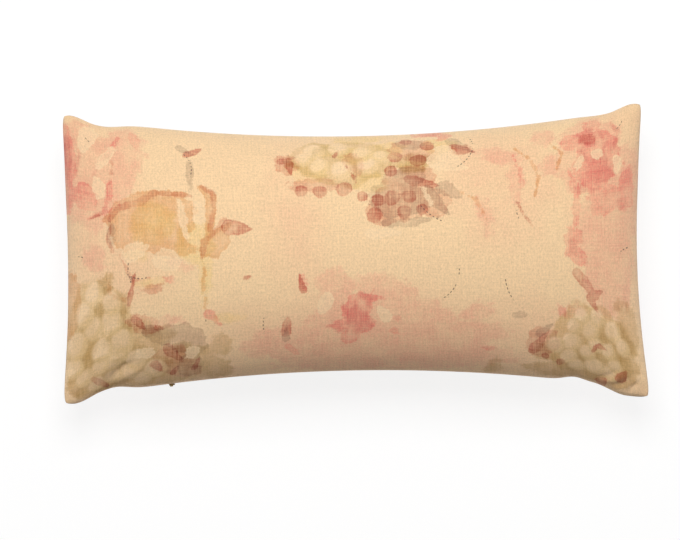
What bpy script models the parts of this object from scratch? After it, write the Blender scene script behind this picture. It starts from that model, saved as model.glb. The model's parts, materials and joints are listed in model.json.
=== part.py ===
"""Lumbar throw pillow: a zipped cover of two printed linen panels over a filled insert.

Metres, +Z up. The pillow lies on its back, so the front panel faces +Z. Its long way is X,
and the zip closes the seam on the -Y side. The origin is on the ground under the middle.
Run it with blender --background --python part.py, or from Blender's text editor.
"""

import math
from collections import namedtuple

import bmesh
import bpy
from mathutils import Vector

# Filled pillow, corner to corner, and its loft.
COVER_LENGTH = 0.588
COVER_WIDTH = 0.293
THICKNESS = 0.150
SEAM_HEIGHT = 0.072
BACK_DEPTH = 0.076  # depth of the back before the ground flattens it

# Outline: the long edges curve in on one radius, and the corners stand out as small ears.
LONG_EDGE_RADIUS = 1.70
SIDE_BOW = 0.007
EAR_REACH = 0.0035
EAR_SHARPNESS = 12
EAR_FLATTENING = 0.35
EAR_GAP = 0.0009  # how much further the edges part at the ears, where the cloth lies flatter

# Cloth and clearances.
COVER_CLOTH = 0.0008
CASING_CLOTH = 0.0004
CLEARANCE = 0.0003
HALF_SEAM_GAP = CLEARANCE / 2
ALLOWANCE_SHARE = 0.6  # of the first row of cells, which the turned-in seam allowance covers
FOLD_DEPTH = 2 * COVER_CLOTH + CLEARANCE
CELLS_LONG = 24
CELLS_WIDE = 12
ALLOWANCE_CELLS_LONG = 10  # from the middle to the allowance's end, along a long edge
ALLOWANCE_CELLS_WIDE = 4

# Insert and its filling. The insert's edge stays clear of the zip's slider.
INSERT_BEHIND_SLIDER = 0.0013
INSERT_LOOSENESS = 0.0007
CASING_HALF_GAP = 0.0004
FILLING_INSET = 0.0036
FILLING_LOOSENESS = 0.0006
CLOSING_HALF_SPAN = 0.5  # share of a short edge that is stitched shut after filling
LABEL_CELLS = 1  # cells of the casing that the label covers on each side of the middle
LABEL_THICKNESS = 0.0003

# Threads.
THREAD_RADIUS = 0.00025
STITCH_RADIUS = 0.0002

# Zip, in the curved seam. Insets are measured in from the seam line, heights from its plane.
ZIP_HALF_LENGTH = 0.1925
SLOT_HALF_WIDTH = 0.0015
SLOT_PAST_ZIP = 0.0075
SLOT_FADE_LENGTH = 0.030
SLOT_FADE_POWER = 8
CHAIN_BEHIND_FOLD = 0.0026
COIL_RADIUS = 0.0008
TAPE_THICKNESS = 0.0005
TAPE_WIDTH = 0.0095
TAPE_STRAIGHT = 0.0008
TAPE_BEND = 0.0020
TAPE_GAP = 0.00045  # to the allowance that it is sewn to
ZIP_STEPS = 22
STOP_LENGTH = 0.0025
STOP_MARGIN = 0.00015  # how far a stop stands past the coils, in and out

# Slider and pull.
SLIDER_LENGTH = 0.008
SLIDER_FROM_END = 0.0065  # from the coils' end to the middle of the closed slider
PLATE_THICKNESS = 0.0006
PLATE_MARGIN = 0.0001  # of the plates past the rails
RAIL_THICKNESS = 0.0005
NECK_THICKNESS = 0.0008
NECK_LENGTH = 0.0026
BAR_RADIUS = 0.00055
BAR_STANDOFF = 0.00145  # bar's centre, outside the seam line
POST_THICKNESS = 0.00075
PULL_WIDTH = 0.0029
PULL_EYE_PLAY = 0.00035
PULL_EYE_WALL = 0.0007
PULL_TAB_WIDTH = 0.005
PULL_TAB_THICKNESS = 0.001
PULL_LENGTH = 0.021
PULL_HOLE_RADIUS = 0.0011

HALF_LENGTH = COVER_LENGTH / 2
LONG_EDGE_SAG = LONG_EDGE_RADIUS - math.sqrt(LONG_EDGE_RADIUS**2 - HALF_LENGTH**2)
HALF_WAIST = COVER_WIDTH / 2 - LONG_EDGE_SAG - EAR_REACH
ZIP_CENTRE = Vector((0, -HALF_WAIST - LONG_EDGE_RADIUS, SEAM_HEIGHT))

CHAIN_INSET = FOLD_DEPTH + CHAIN_BEHIND_FOLD
# The coils stand apart by the slider's neck, which runs between them.
COIL_HEIGHT = NECK_THICKNESS / 2 + CLEARANCE + COIL_RADIUS
COIL_OUTER = COIL_HEIGHT + COIL_RADIUS
PLATE_GAP = COIL_RADIUS + CLEARANCE  # from the chain's middle to the face of each plate
PLATE_HALF_WIDTH = COIL_OUTER + CLEARANCE + RAIL_THICKNESS + PLATE_MARGIN
PULL_EYE_RADIUS = BAR_RADIUS + PULL_EYE_PLAY
INSERT_INSET = CHAIN_INSET + PLATE_GAP + PLATE_THICKNESS + INSERT_BEHIND_SLIDER

# A layer of the pillow: how far its edge lies in from the seam, how far its crown lies inside
# the cover's, half the gap at its edge, and how much wider that is at the ears and at the zip.
Layer = namedtuple("Layer", "inset standoff half_gap ear_gap slot")
COVER = Layer(0, 0, HALF_SEAM_GAP, EAR_GAP, SLOT_HALF_WIDTH - HALF_SEAM_GAP)
CASING = Layer(INSERT_INSET, COVER_CLOTH + INSERT_LOOSENESS, CASING_HALF_GAP, EAR_GAP, 0)
FILLING = Layer(
    INSERT_INSET + FILLING_INSET,
    CASING.standoff + CASING_CLOTH + FILLING_LOOSENESS,
    0,
    0,
    0,
)

LINEN = (0.86, 0.70, 0.52, 1)
COTTON = (0.85, 0.82, 0.76, 1)
THREAD = (0.82, 0.70, 0.55, 1)
TAPE = (0.80, 0.72, 0.60, 1)
NYLON = (0.78, 0.70, 0.58, 1)
BRASS = (0.62, 0.52, 0.36, 1)
FIBRE = (0.92, 0.92, 0.90, 1)


def clear_scene():
    for item in list(bpy.data.objects):
        bpy.data.objects.remove(item)


def new_collection(name):
    collection = bpy.data.collections.new(name)
    bpy.context.scene.collection.children.link(collection)
    return collection


def finish(item, colour, roughness, metallic=0.0):
    """Gives the object its own Principled material."""
    material = bpy.data.materials.new(item.name)
    material.use_nodes = True
    shader = material.node_tree.nodes["Principled BSDF"]
    shader.inputs["Base Color"].default_value = colour
    shader.inputs["Roughness"].default_value = roughness
    shader.inputs["Metallic"].default_value = metallic
    item.data.materials.append(material)


def mesh_object(name, bm, collection):
    mesh = bpy.data.meshes.new(name)
    bm.to_mesh(mesh)
    bm.free()
    item = bpy.data.objects.new(name, mesh)
    collection.objects.link(item)
    return item


def smooth(item, angle_deg=40):
    item.data.shade_smooth()
    item.data.set_sharp_from_angle(angle=math.radians(angle_deg))


def solidify(item, thickness, offset=-1.0):
    modifier = item.modifiers.new("Cloth", "SOLIDIFY")
    modifier.thickness = thickness
    modifier.offset = offset


# Shape of the pillow


def edge_y(x):
    """Half width of the cover at x: an arc that curves in, with the ears standing past it."""
    sag = LONG_EDGE_RADIUS - math.sqrt(LONG_EDGE_RADIUS**2 - x**2)
    return HALF_WAIST + sag + EAR_REACH * (abs(x) / HALF_LENGTH) ** EAR_SHARPNESS


def plan(u, v, inset):
    """Where (u, v), each from -1 to 1, lies in plan on a layer that is inset from the seam."""
    x = u * (HALF_LENGTH - inset - SIDE_BOW * (1 - v * v))
    return x, v * (edge_y(x) - inset)


def rise(u, v, height):
    """Height above the seam plane: round across, flat-topped along, low at the corners."""
    crown = math.sqrt(max(0.0, 1 - u**4)) * math.sqrt(max(0.0, 1 - v * v))
    return height * crown * (1 - EAR_FLATTENING * u**4 * v * v)


def zip_fade(x, v):
    """1 where the seam stands open for the zip, falling to 0 past its ends and up the panel."""
    past = (abs(x) - ZIP_HALF_LENGTH - SLOT_PAST_ZIP) / SLOT_FADE_LENGTH
    return (1 - min(max(past, 0.0), 1.0)) * ((1 - v) / 2) ** SLOT_FADE_POWER


def ear_fade(s, t):
    """1 in each corner, past the ends of the seam allowances, falling to 0 over one cell."""
    along = abs(s) * CELLS_LONG / 2 - ALLOWANCE_CELLS_LONG + 1
    across = abs(t) * CELLS_WIDE / 2 - ALLOWANCE_CELLS_WIDE + 1
    return min(max(along, 0.0), 1.0) * min(max(across, 0.0), 1.0)


def layer_point(s, t, side, layer):
    """A point on a layer. s and t run from -1 to 1, evenly in angle, so rows crowd the seam."""
    u = math.sin(math.pi / 2 * s)
    v = math.sin(math.pi / 2 * t)
    x, y = plan(u, v, layer.inset)
    lift = layer.half_gap + layer.slot * zip_fade(x, v) + layer.ear_gap * ear_fade(s, t)
    if side > 0:
        top = THICKNESS - SEAM_HEIGHT - lift - layer.standoff
        return Vector((x, y, SEAM_HEIGHT + lift + rise(u, v, top)))
    ground = SEAM_HEIGHT - lift - layer.standoff
    depth = min(rise(u, v, BACK_DEPTH - layer.standoff), ground)
    return Vector((x, y, SEAM_HEIGHT - lift - depth))


def half_cushion(side, layer):
    """Grid of one half, with its faces outwards, and the (s, t) of each vertex."""
    bm = bmesh.new()
    bmesh.ops.create_grid(bm, x_segments=CELLS_LONG, y_segments=CELLS_WIDE, size=1.0)
    places = {}
    for vertex in bm.verts:
        s, t = vertex.co.x, vertex.co.y
        places[vertex] = (s, t)
        vertex.co = layer_point(s, t, side, layer)
    if side < 0:
        bmesh.ops.reverse_faces(bm, faces=bm.faces[:])
    return bm, places


def edge_run(bm, places, row, end, limit):
    """Boundary edges of one side, short of the corners. row is 0 on short sides, 1 on long ones."""
    for edge in bm.edges:
        ends = [places[vertex] for vertex in edge.verts]
        on_side = all(abs(place[row] - end) < 1e-4 for place in ends)
        if on_side and all(abs(place[1 - row]) < limit + 1e-4 for place in ends):
            yield edge


def extruded(bm, edges):
    """Extrudes edges, and returns the new edges and a list of (new vertex, its source)."""
    sources = {vertex for edge in edges for vertex in edge.verts}
    made = bmesh.ops.extrude_edge_only(bm, edges=edges)["geom"]
    new = {item for item in made if isinstance(item, bmesh.types.BMVert)}
    pairs = []
    for vertex in new:
        for edge in vertex.link_edges:
            other = edge.other_vert(vertex)
            if other in sources:
                pairs.append((vertex, other))
    new_edges = [item for item in made if isinstance(item, bmesh.types.BMEdge)]
    return [edge for edge in new_edges if all(vertex in new for vertex in edge.verts)], pairs


def turn_in(bm, places, side):
    """Folds a seam allowance in along each edge, flat against the inside of its panel."""
    limits = (ALLOWANCE_CELLS_WIDE * 2 / CELLS_WIDE, ALLOWANCE_CELLS_LONG * 2 / CELLS_LONG)
    cells = (CELLS_LONG, CELLS_WIDE)
    runs = []
    for row, limit in enumerate(limits):
        for end in (-1, 1):
            runs.append((row, end, list(edge_run(bm, places, row, end, limit))))
    for row, end, edges in runs:
        folded, pairs = extruded(bm, edges)
        slopes = {}
        for vertex, source in pairs:
            next_in = list(places[source])
            next_in[row] = end * (1 - 2 / cells[row])
            slopes[vertex] = layer_point(*next_in, side, COVER) - source.co
            vertex.co = source.co
            vertex.co[row] -= end * FOLD_DEPTH
        _, pairs = extruded(bm, folded)
        for vertex, source in pairs:
            vertex.co = source.co + slopes[source] * ALLOWANCE_SHARE


def cover_panel(name, side, collection):
    bm, places = half_cushion(side, COVER)
    turn_in(bm, places, side)
    item = mesh_object(name, bm, collection)
    solidify(item, COVER_CLOTH)
    smooth(item)
    finish(item, LINEN, 0.85)


def casing_panel(name, side, collection):
    bm, _ = half_cushion(side, CASING)
    item = mesh_object(name, bm, collection)
    solidify(item, CASING_CLOTH)
    smooth(item)
    finish(item, COTTON, 0.9)


def filling(name, collection):
    """One closed body: both halves are made without a seam gap and merged at the rim."""
    bm, _ = half_cushion(1, FILLING)
    lower, _ = half_cushion(-1, FILLING)
    mesh = bpy.data.meshes.new("filling_back")
    lower.to_mesh(mesh)
    lower.free()
    bm.from_mesh(mesh)
    bpy.data.meshes.remove(mesh)
    bmesh.ops.remove_doubles(bm, verts=bm.verts[:], dist=1e-5)
    item = mesh_object(name, bm, collection)
    smooth(item)
    finish(item, FIBRE, 1.0)


def care_label(name, collection):
    """A blank label caught in the insert's seam and lying on the casing."""
    bm = bmesh.new()
    bmesh.ops.create_grid(bm, x_segments=2, y_segments=2 * LABEL_CELLS, size=1.0)
    rows = {-1: 1 - 4 / CELLS_LONG, 0: 1 - 2 / CELLS_LONG, 1: 1 - 0.3 / CELLS_LONG}
    for vertex in bm.verts:
        row = rows[round(vertex.co.x)]
        column = vertex.co.y * LABEL_CELLS * 2 / CELLS_WIDE
        vertex.co = layer_point(row, column, 1, CASING)
    bm.normal_update()
    lifts = [(vertex, vertex.normal * 2 * CLEARANCE) for vertex in bm.verts]
    for vertex, lift in lifts:
        vertex.co += lift
    item = mesh_object(name, bm, collection)
    solidify(item, LABEL_THICKNESS, offset=0.0)
    finish(item, COTTON, 0.8)


# Threads


def tube(name, points, radius, collection, closed=False):
    """A round thread, coil or wire through the points."""
    curve = bpy.data.curves.new(name, "CURVE")
    curve.dimensions = "3D"
    curve.bevel_depth = radius
    curve.bevel_resolution = 1
    curve.use_fill_caps = not closed
    spline = curve.splines.new("POLY")
    spline.points.add(len(points) - 1)
    for target, point in zip(spline.points, points):
        target.co = (*point, 1)
    spline.use_cyclic_u = closed
    item = bpy.data.objects.new(name, curve)
    collection.objects.link(item)
    return item


def seam_points(places, inset):
    return [Vector((*plan(u, v, inset), SEAM_HEIGHT)) for u, v in places]


def eased(start, end, steps):
    """Values from start to end, evenly in angle, as the cloth's rows are."""
    first, last = math.asin(start), math.asin(end)
    return [math.sin(first + (last - first) * i / steps) for i in range(steps + 1)]


def cover_seam_thread(name, collection):
    """One run of lock-stitch from one end of the zip, round three sides, to the other end."""
    zip_end = (ZIP_HALF_LENGTH + SLOT_PAST_ZIP + SLOT_FADE_LENGTH) / HALF_LENGTH
    side_steps = CELLS_WIDE - 2
    places = [(u, -1) for u in eased(zip_end, 1, 4)]
    places += [(1, v) for v in eased(-1, 1, side_steps)[1:]]
    places += [(u, 1) for u in eased(1, -1, CELLS_LONG - 4)[1:]]
    places += [(-1, v) for v in eased(1, -1, side_steps)[1:]]
    places += [(u, -1) for u in eased(-1, -zip_end, 4)[1:]]
    inset = FOLD_DEPTH + CLEARANCE + THREAD_RADIUS
    item = tube(name, seam_points(places, inset), THREAD_RADIUS, collection)
    finish(item, THREAD, 0.7)


def insert_seam_thread(name, collection):
    """Lock-stitch that closes the casing all round, just inside its edge."""
    places = [(u, 1) for u in eased(1, -1, CELLS_LONG - 4)]
    places += [(-1, v) for v in eased(1, -1, CELLS_WIDE - 2)[1:]]
    places += [(u, -1) for u in eased(-1, 1, CELLS_LONG - 4)[1:]]
    places += [(1, v) for v in eased(-1, 1, CELLS_WIDE - 2)[1:-1]]
    inset = INSERT_INSET + FILLING_INSET - 4 * CLEARANCE
    item = tube(name, seam_points(places, inset), THREAD_RADIUS, collection, closed=True)
    finish(item, THREAD, 0.7)


def insert_closing_stitch(name, collection):
    """Edge stitch along the gap through which the insert was filled."""
    places = [(-1, v) for v in eased(-CLOSING_HALF_SPAN, CLOSING_HALF_SPAN, 8)]
    inset = INSERT_INSET - CLEARANCE - THREAD_RADIUS
    item = tube(name, seam_points(places, inset), THREAD_RADIUS, collection)
    finish(item, THREAD, 0.7)


# Zip


def zip_angle(x):
    return math.asin(x / LONG_EDGE_RADIUS)


def on_zip(angle, inset, height):
    """A point of the zip's curved track."""
    radius = LONG_EDGE_RADIUS + inset
    return ZIP_CENTRE + Vector((radius * math.sin(angle), radius * math.cos(angle), height))


def zip_run(name, side, inset, height, radius, collection):
    """A coil or a row of stitching, the whole length of the zip."""
    end = zip_angle(ZIP_HALF_LENGTH)
    angles = [-end + 2 * end * i / ZIP_STEPS for i in range(ZIP_STEPS + 1)]
    points = [on_zip(angle, inset, side * height) for angle in angles]
    return tube(name, points, radius, collection)


def tape_inset(height):
    """Inset of the tape's middle where it lies along the allowance, at the zip's ends.

    The panel leans in most there: its first row of cells rises over this width.
    """
    row = math.sin(math.pi / 2 * (1 - 2 / CELLS_WIDE))
    across = (1 - row) * edge_y(ZIP_HALF_LENGTH)
    lift = min(THICKNESS - SEAM_HEIGHT, BACK_DEPTH) - SLOT_HALF_WIDTH
    lean = across / rise(ZIP_HALF_LENGTH / HALF_LENGTH, row, lift)
    return FOLD_DEPTH + lean * (height - SLOT_HALF_WIDTH) + TAPE_GAP + TAPE_THICKNESS / 2


def tape_section():
    """(inset, height) along a tape: from beside its coil, over to the allowance and along it."""
    start = COIL_OUTER + CLEARANCE
    bend = start + TAPE_STRAIGHT + TAPE_BEND
    return (
        (CHAIN_INSET, start),
        (CHAIN_INSET, start + TAPE_STRAIGHT),
        (tape_inset(bend), bend),
        (tape_inset(TAPE_WIDTH), TAPE_WIDTH),
    )


def zip_tape(name, side, collection):
    """The tape's section, spun about the centre of the seam's arc."""
    end = zip_angle(ZIP_HALF_LENGTH)
    bm = bmesh.new()
    corners = [bm.verts.new(on_zip(-end, inset, side * height)) for inset, height in tape_section()]
    edges = [bm.edges.new(pair) for pair in zip(corners, corners[1:])]
    bmesh.ops.spin(
        bm,
        geom=corners + edges,
        cent=ZIP_CENTRE,
        axis=(0, 0, -1),
        angle=2 * end,
        steps=ZIP_STEPS,
        use_duplicate=False,
    )
    bmesh.ops.recalc_face_normals(bm, faces=bm.faces[:])
    item = mesh_object(name, bm, collection)
    solidify(item, TAPE_THICKNESS, offset=0.0)
    finish(item, TAPE, 0.85)


def box(name, low, high, collection, parent=None):
    """A box between two corners, in its parent's frame."""
    low, high = Vector(low), Vector(high)
    bm = bmesh.new()
    bmesh.ops.create_cube(bm, size=1.0)
    for vertex in bm.verts:
        vertex.co = (low + high) / 2 + Vector([a * b for a, b in zip(vertex.co, high - low)])
    item = mesh_object(name, bm, collection)
    item.parent = parent
    return item


def rod(name, radius, length, centre, collection, parent, sides=16):
    """A cylinder that lies along X, in its parent's frame."""
    bm = bmesh.new()
    bmesh.ops.create_cone(bm, cap_ends=True, segments=sides, radius1=radius, radius2=radius, depth=length)
    for vertex in bm.verts:
        vertex.co = Vector((vertex.co.z, vertex.co.y, -vertex.co.x)) + Vector(centre)
    item = mesh_object(name, bm, collection)
    item.parent = parent
    return item


def combine(item, others, operation):
    """Joins or cuts the object with helpers, which are kept out of the render."""
    for other in others:
        other.hide_render = True
        other.display_type = "WIRE"
        modifier = item.modifiers.new(other.name, "BOOLEAN")
        modifier.operation = operation
        modifier.object = other


def bevel(item, width):
    modifier = item.modifiers.new("Edges", "BEVEL")
    modifier.width = width
    modifier.segments = 1
    modifier.limit_method = "ANGLE"


def zip_stop(name, x, low_height, high_height, collection):
    """A moulded stop across the line of the chain, past the end of the coils."""
    half = COIL_RADIUS + STOP_MARGIN
    item = box(
        name,
        (-STOP_LENGTH / 2, LONG_EDGE_RADIUS + CHAIN_INSET - half, low_height),
        (STOP_LENGTH / 2, LONG_EDGE_RADIUS + CHAIN_INSET + half, high_height),
        collection,
    )
    item.location = ZIP_CENTRE
    item.rotation_euler.z = -zip_angle(x)
    bevel(item, 0.0003)
    finish(item, NYLON, 0.5)


def empty(name, location, collection, parent=None, turn=0.0):
    item = bpy.data.objects.new(name, None)
    item.empty_display_size = 0.01
    item.location = location
    item.rotation_euler.z = turn
    item.parent = parent
    collection.objects.link(item)
    return item


def zip_slider(name, frame, collection, cutters):
    """Two plates round the coils, joined by the neck, and a bridge for the pull outside.

    In frame, X is along the zip, Y is in from the seam line and Z is up. The neck stands at the
    end that goes first when the zip closes.
    """
    half = SLIDER_LENGTH / 2
    outer_face = CHAIN_INSET - PLATE_GAP
    inner_face = CHAIN_INSET + PLATE_GAP
    rail_reach = PLATE_GAP - TAPE_THICKNESS / 2 - CLEARANCE
    rail_low = COIL_OUTER + CLEARANCE
    bar_length = PULL_WIDTH + 2 * POST_THICKNESS
    inlay = 0.0001  # how far joined shapes run into each other
    item = box(
        name,
        (-half, outer_face - PLATE_THICKNESS, -PLATE_HALF_WIDTH),
        (half, outer_face, PLATE_HALF_WIDTH),
        collection,
        frame,
    )
    joined = [
        box(
            "slider_inner_plate",
            (-half, inner_face, -PLATE_HALF_WIDTH),
            (half, inner_face + PLATE_THICKNESS, PLATE_HALF_WIDTH),
            cutters,
            frame,
        ),
        box(
            "slider_neck",
            (inlay - half, outer_face - inlay, -NECK_THICKNESS / 2),
            (NECK_LENGTH + inlay - half, inner_face + inlay, NECK_THICKNESS / 2),
            cutters,
            frame,
        ),
        rod("slider_bar", BAR_RADIUS, bar_length, (0, -BAR_STANDOFF, 0), cutters, frame),
    ]
    for side in (-1, 1):
        across = sorted((side * rail_low, side * (rail_low + RAIL_THICKNESS)))
        for label, low, high in (
            ("outer", outer_face - inlay, outer_face + rail_reach),
            ("inner", inner_face - rail_reach, inner_face + inlay),
        ):
            joined.append(
                box(
                    f"slider_{label}_rail_{'front' if side > 0 else 'back'}",
                    (-half + inlay, low, across[0]),
                    (half - inlay, high, across[1]),
                    cutters,
                    frame,
                )
            )
        post_inner = PULL_WIDTH / 2 + CLEARANCE
        along = sorted((side * post_inner, side * (post_inner + POST_THICKNESS)))
        joined.append(
            box(
                f"slider_post_{'right' if side > 0 else 'left'}",
                (along[0], -BAR_STANDOFF, -BAR_RADIUS - inlay),
                (along[1], outer_face - PLATE_THICKNESS + inlay, BAR_RADIUS + inlay),
                cutters,
                frame,
            )
        )
    combine(item, joined, "UNION")
    finish(item, BRASS, 0.35, metallic=1.0)


def zip_pull(name, frame, collection, cutters):
    """An eye round the slider's bar and a tab that hangs from it, in the bar's frame."""
    eye_outer = PULL_EYE_RADIUS + PULL_EYE_WALL
    half_tab = PULL_TAB_THICKNESS / 2
    item = rod(name, eye_outer, PULL_WIDTH, (0, 0, 0), collection, frame, sides=24)
    shoulder = eye_outer * 2
    joined = [
        box(
            "pull_shank",
            (-PULL_WIDTH / 2 + 0.0001, -half_tab, -shoulder - 0.0006),
            (PULL_WIDTH / 2 - 0.0001, half_tab, -eye_outer + 0.0002),
            cutters,
            frame,
        ),
        box(
            "pull_tab",
            (-PULL_TAB_WIDTH / 2, -half_tab - 0.0001, -PULL_LENGTH),
            (PULL_TAB_WIDTH / 2, half_tab + 0.0001, -shoulder),
            cutters,
            frame,
        ),
    ]
    combine(item, joined, "UNION")
    hole = rod("pull_tab_hole", PULL_HOLE_RADIUS, 0.004, (0, 0, 0), cutters, frame)
    hole.rotation_euler.z = math.pi / 2
    hole.location.z = -PULL_LENGTH + 0.0034
    eye = rod("pull_eye_hole", PULL_EYE_RADIUS, PULL_WIDTH * 2, (0, 0, 0), cutters, frame, sides=24)
    combine(item, [eye, hole], "DIFFERENCE")
    finish(item, BRASS, 0.35, metallic=1.0)


def build_cover(pillow):
    cover_panel("cover_front_panel", 1, pillow)
    cover_panel("cover_back_panel", -1, pillow)
    cover_seam_thread("cover_seam_thread", pillow)


def build_insert(pillow):
    casing_panel("insert_casing_front", 1, pillow)
    casing_panel("insert_casing_back", -1, pillow)
    filling("insert_filling", pillow)
    insert_seam_thread("insert_seam_thread", pillow)
    insert_closing_stitch("insert_closing_stitch", pillow)
    care_label("insert_care_label", pillow)


def build_zip(pillow, cutters):
    stitch_height = TAPE_WIDTH * 0.8
    stitch_inset = tape_inset(stitch_height) + TAPE_THICKNESS / 2 + CLEARANCE + STITCH_RADIUS
    stop_x = ZIP_HALF_LENGTH + CLEARANCE + STOP_LENGTH / 2
    for label, side in (("front", 1), ("back", -1)):
        zip_tape(f"zip_tape_{label}", side, pillow)
        coil = zip_run(f"zip_coil_{label}", side, CHAIN_INSET, COIL_HEIGHT, COIL_RADIUS, pillow)
        finish(coil, NYLON, 0.5)
        run = zip_run(f"zip_stitching_{label}", side, stitch_inset, stitch_height, STITCH_RADIUS, pillow)
        finish(run, THREAD, 0.7)
        heights = sorted((side * (COIL_HEIGHT - COIL_RADIUS), side * COIL_OUTER))
        zip_stop(f"zip_top_stop_{label}", -stop_x, heights[0], heights[1], pillow)
    zip_stop("zip_bottom_stop", stop_x, -COIL_OUTER, COIL_OUTER, pillow)
    slider_x = SLIDER_FROM_END - ZIP_HALF_LENGTH
    axis = empty("zip_slider_axis", ZIP_CENTRE, pillow, turn=-zip_angle(slider_x))
    track = empty("zip_slider_place", (0, LONG_EDGE_RADIUS, 0), pillow, parent=axis)
    zip_slider("zip_slider", track, pillow, cutters)
    pivot = empty("zip_pull_axis", (0, -BAR_STANDOFF, 0), pillow, parent=track)
    zip_pull("zip_pull", pivot, pillow, cutters)


def main():
    clear_scene()
    pillow = new_collection("throw_pillow")
    cutters = new_collection("cutters")
    build_cover(pillow)
    build_insert(pillow)
    build_zip(pillow, cutters)


main()
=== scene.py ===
# %% [markdown]
# # A printed linen lumbar pillow
#
# The pillow is a knife-edge cover of two linen panels, closed by a zip in the lower long seam,
# over a plump insert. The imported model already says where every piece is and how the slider
# and its pull move. This lesson makes the looks: cloth that is blown up by simulation, a faded
# flower and fruit print, woven tapes, a toothed zip and brass hardware.
#
# Everything is in metres. The pillow lies on its back, so the printed front faces +Z, its long
# way is X, and the zip is on the -Y side.

# %% Load the frame
import json
import math

import bmesh
import bpy
import numpy as np
from mathutils import Matrix, Vector


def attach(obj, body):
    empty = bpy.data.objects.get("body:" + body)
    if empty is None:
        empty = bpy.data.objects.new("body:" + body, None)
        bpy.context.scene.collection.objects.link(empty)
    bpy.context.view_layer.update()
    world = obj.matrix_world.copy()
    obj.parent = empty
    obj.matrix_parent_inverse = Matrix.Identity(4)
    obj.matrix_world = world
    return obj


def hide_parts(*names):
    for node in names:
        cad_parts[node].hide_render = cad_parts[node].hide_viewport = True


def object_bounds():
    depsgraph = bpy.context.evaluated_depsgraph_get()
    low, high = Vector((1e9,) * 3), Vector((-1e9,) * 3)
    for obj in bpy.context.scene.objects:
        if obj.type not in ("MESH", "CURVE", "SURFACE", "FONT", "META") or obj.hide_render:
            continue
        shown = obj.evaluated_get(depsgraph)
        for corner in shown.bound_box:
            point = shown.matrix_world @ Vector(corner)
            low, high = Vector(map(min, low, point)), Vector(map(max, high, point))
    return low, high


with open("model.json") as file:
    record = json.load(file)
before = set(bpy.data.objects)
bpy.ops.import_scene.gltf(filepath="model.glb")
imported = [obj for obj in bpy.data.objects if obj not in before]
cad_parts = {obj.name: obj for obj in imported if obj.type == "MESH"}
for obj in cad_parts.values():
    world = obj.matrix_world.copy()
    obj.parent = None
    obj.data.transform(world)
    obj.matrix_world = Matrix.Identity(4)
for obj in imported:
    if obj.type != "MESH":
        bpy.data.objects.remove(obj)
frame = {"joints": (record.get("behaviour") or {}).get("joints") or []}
cad_box = [list(corner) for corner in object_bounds()]
print("CAD box:", cad_box)

# %% [markdown]
# ## Sizes
# The frame gives the overall box and the joint on which the slider runs. The centre of that
# joint is also the centre of the lower seam's long, shallow arc, so the seam and the zip can be
# worked out from it. The cover is cut 24 by 12 inches, and filling draws it in.

# %% Sizes
HALF_LENGTH = (cad_box[1][0] - cad_box[0][0]) / 2
HALF_WIDTH = (cad_box[1][1] - cad_box[0][1]) / 2
LOFT = cad_box[1][2]
ZIP_CENTRE = Vector(frame["joints"][0]["pos_m"])
SEAM_HEIGHT = ZIP_CENTRE.z
EDGE_RADIUS = 1.70
HALF_WAIST = -ZIP_CENTRE.y - EDGE_RADIUS
FINISHED_LENGTH = 0.610
FINISHED_WIDTH = 0.305
CLOTH = 0.0008
print("filled size", 2 * HALF_LENGTH, 2 * HALF_WIDTH, LOFT, "half waist", HALF_WAIST)

# %% [markdown]
# ## Camera, floor and light
# The pillow is seen square on, from straight above, through a long lens, and it lies turned by
# about one degree. The floor is a plain white table. A large soft box stands at the head of the
# table, so the lower edge of the pillow falls into shade, and a pale sky fills the shadows in.

# %% Helpers for objects
def add_object(name, data):
    """A new object with the data, in the scene."""
    item = bpy.data.objects.new(name, data)
    bpy.context.scene.collection.objects.link(item)
    return item


def select_only(item):
    """Makes an object the only one selected, and the active one."""
    bpy.ops.object.select_all(action="DESELECT")
    item.select_set(True)
    bpy.context.view_layer.objects.active = item


def stand_in(item, body, node):
    """Rides a finished piece on its body, in place of its CAD node."""
    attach(item, body)
    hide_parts(node)


# %% Camera
VIEW_DISTANCE = 3.0
VIEW_WIDTH = 0.682
VIEW_TURN = math.radians(-0.95)
VIEW_CENTRE = (-0.0150, -0.0165)
camera_data = bpy.data.cameras.new("camera")
camera_data.lens = camera_data.sensor_width * VIEW_DISTANCE / VIEW_WIDTH
camera = add_object("camera", camera_data)
camera.location = (*VIEW_CENTRE, SEAM_HEIGHT + VIEW_DISTANCE)
camera.rotation_euler = (0, 0, VIEW_TURN)
bpy.context.scene.camera = camera
bpy.context.scene.view_settings.view_transform = "Standard"
print("lens", round(camera_data.lens, 1), "mm")


# %% Floor
FLOOR_SIZE = 12.0
FLOOR_DROP = 0.0004
TABLE_GLOW = 0.80


def new_material(name):
    """An empty node material, its node tree and its output node."""
    material = bpy.data.materials.new(name)
    material.use_nodes = True
    material.node_tree.nodes.clear()
    output = material.node_tree.nodes.new("ShaderNodeOutputMaterial")
    return material, material.node_tree, output


def floor_material():
    """White paper that the camera sees nearly evenly lit, as on a light table."""
    material, tree, output = new_material("white_table")
    paper = tree.nodes.new("ShaderNodeBsdfDiffuse")
    paper.inputs["Color"].default_value = (0.93, 0.93, 0.93, 1)
    glow = tree.nodes.new("ShaderNodeEmission")
    glow.inputs["Strength"].default_value = 1.05
    mix = tree.nodes.new("ShaderNodeMixShader")
    path = tree.nodes.new("ShaderNodeLightPath")
    share = tree.nodes.new("ShaderNodeMath")
    share.operation = "MULTIPLY"
    share.inputs[1].default_value = TABLE_GLOW
    tree.links.new(path.outputs["Is Camera Ray"], share.inputs[0])
    tree.links.new(share.outputs[0], mix.inputs["Fac"])
    tree.links.new(paper.outputs[0], mix.inputs[1])
    tree.links.new(glow.outputs[0], mix.inputs[2])
    tree.links.new(mix.outputs[0], output.inputs["Surface"])
    return material


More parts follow.
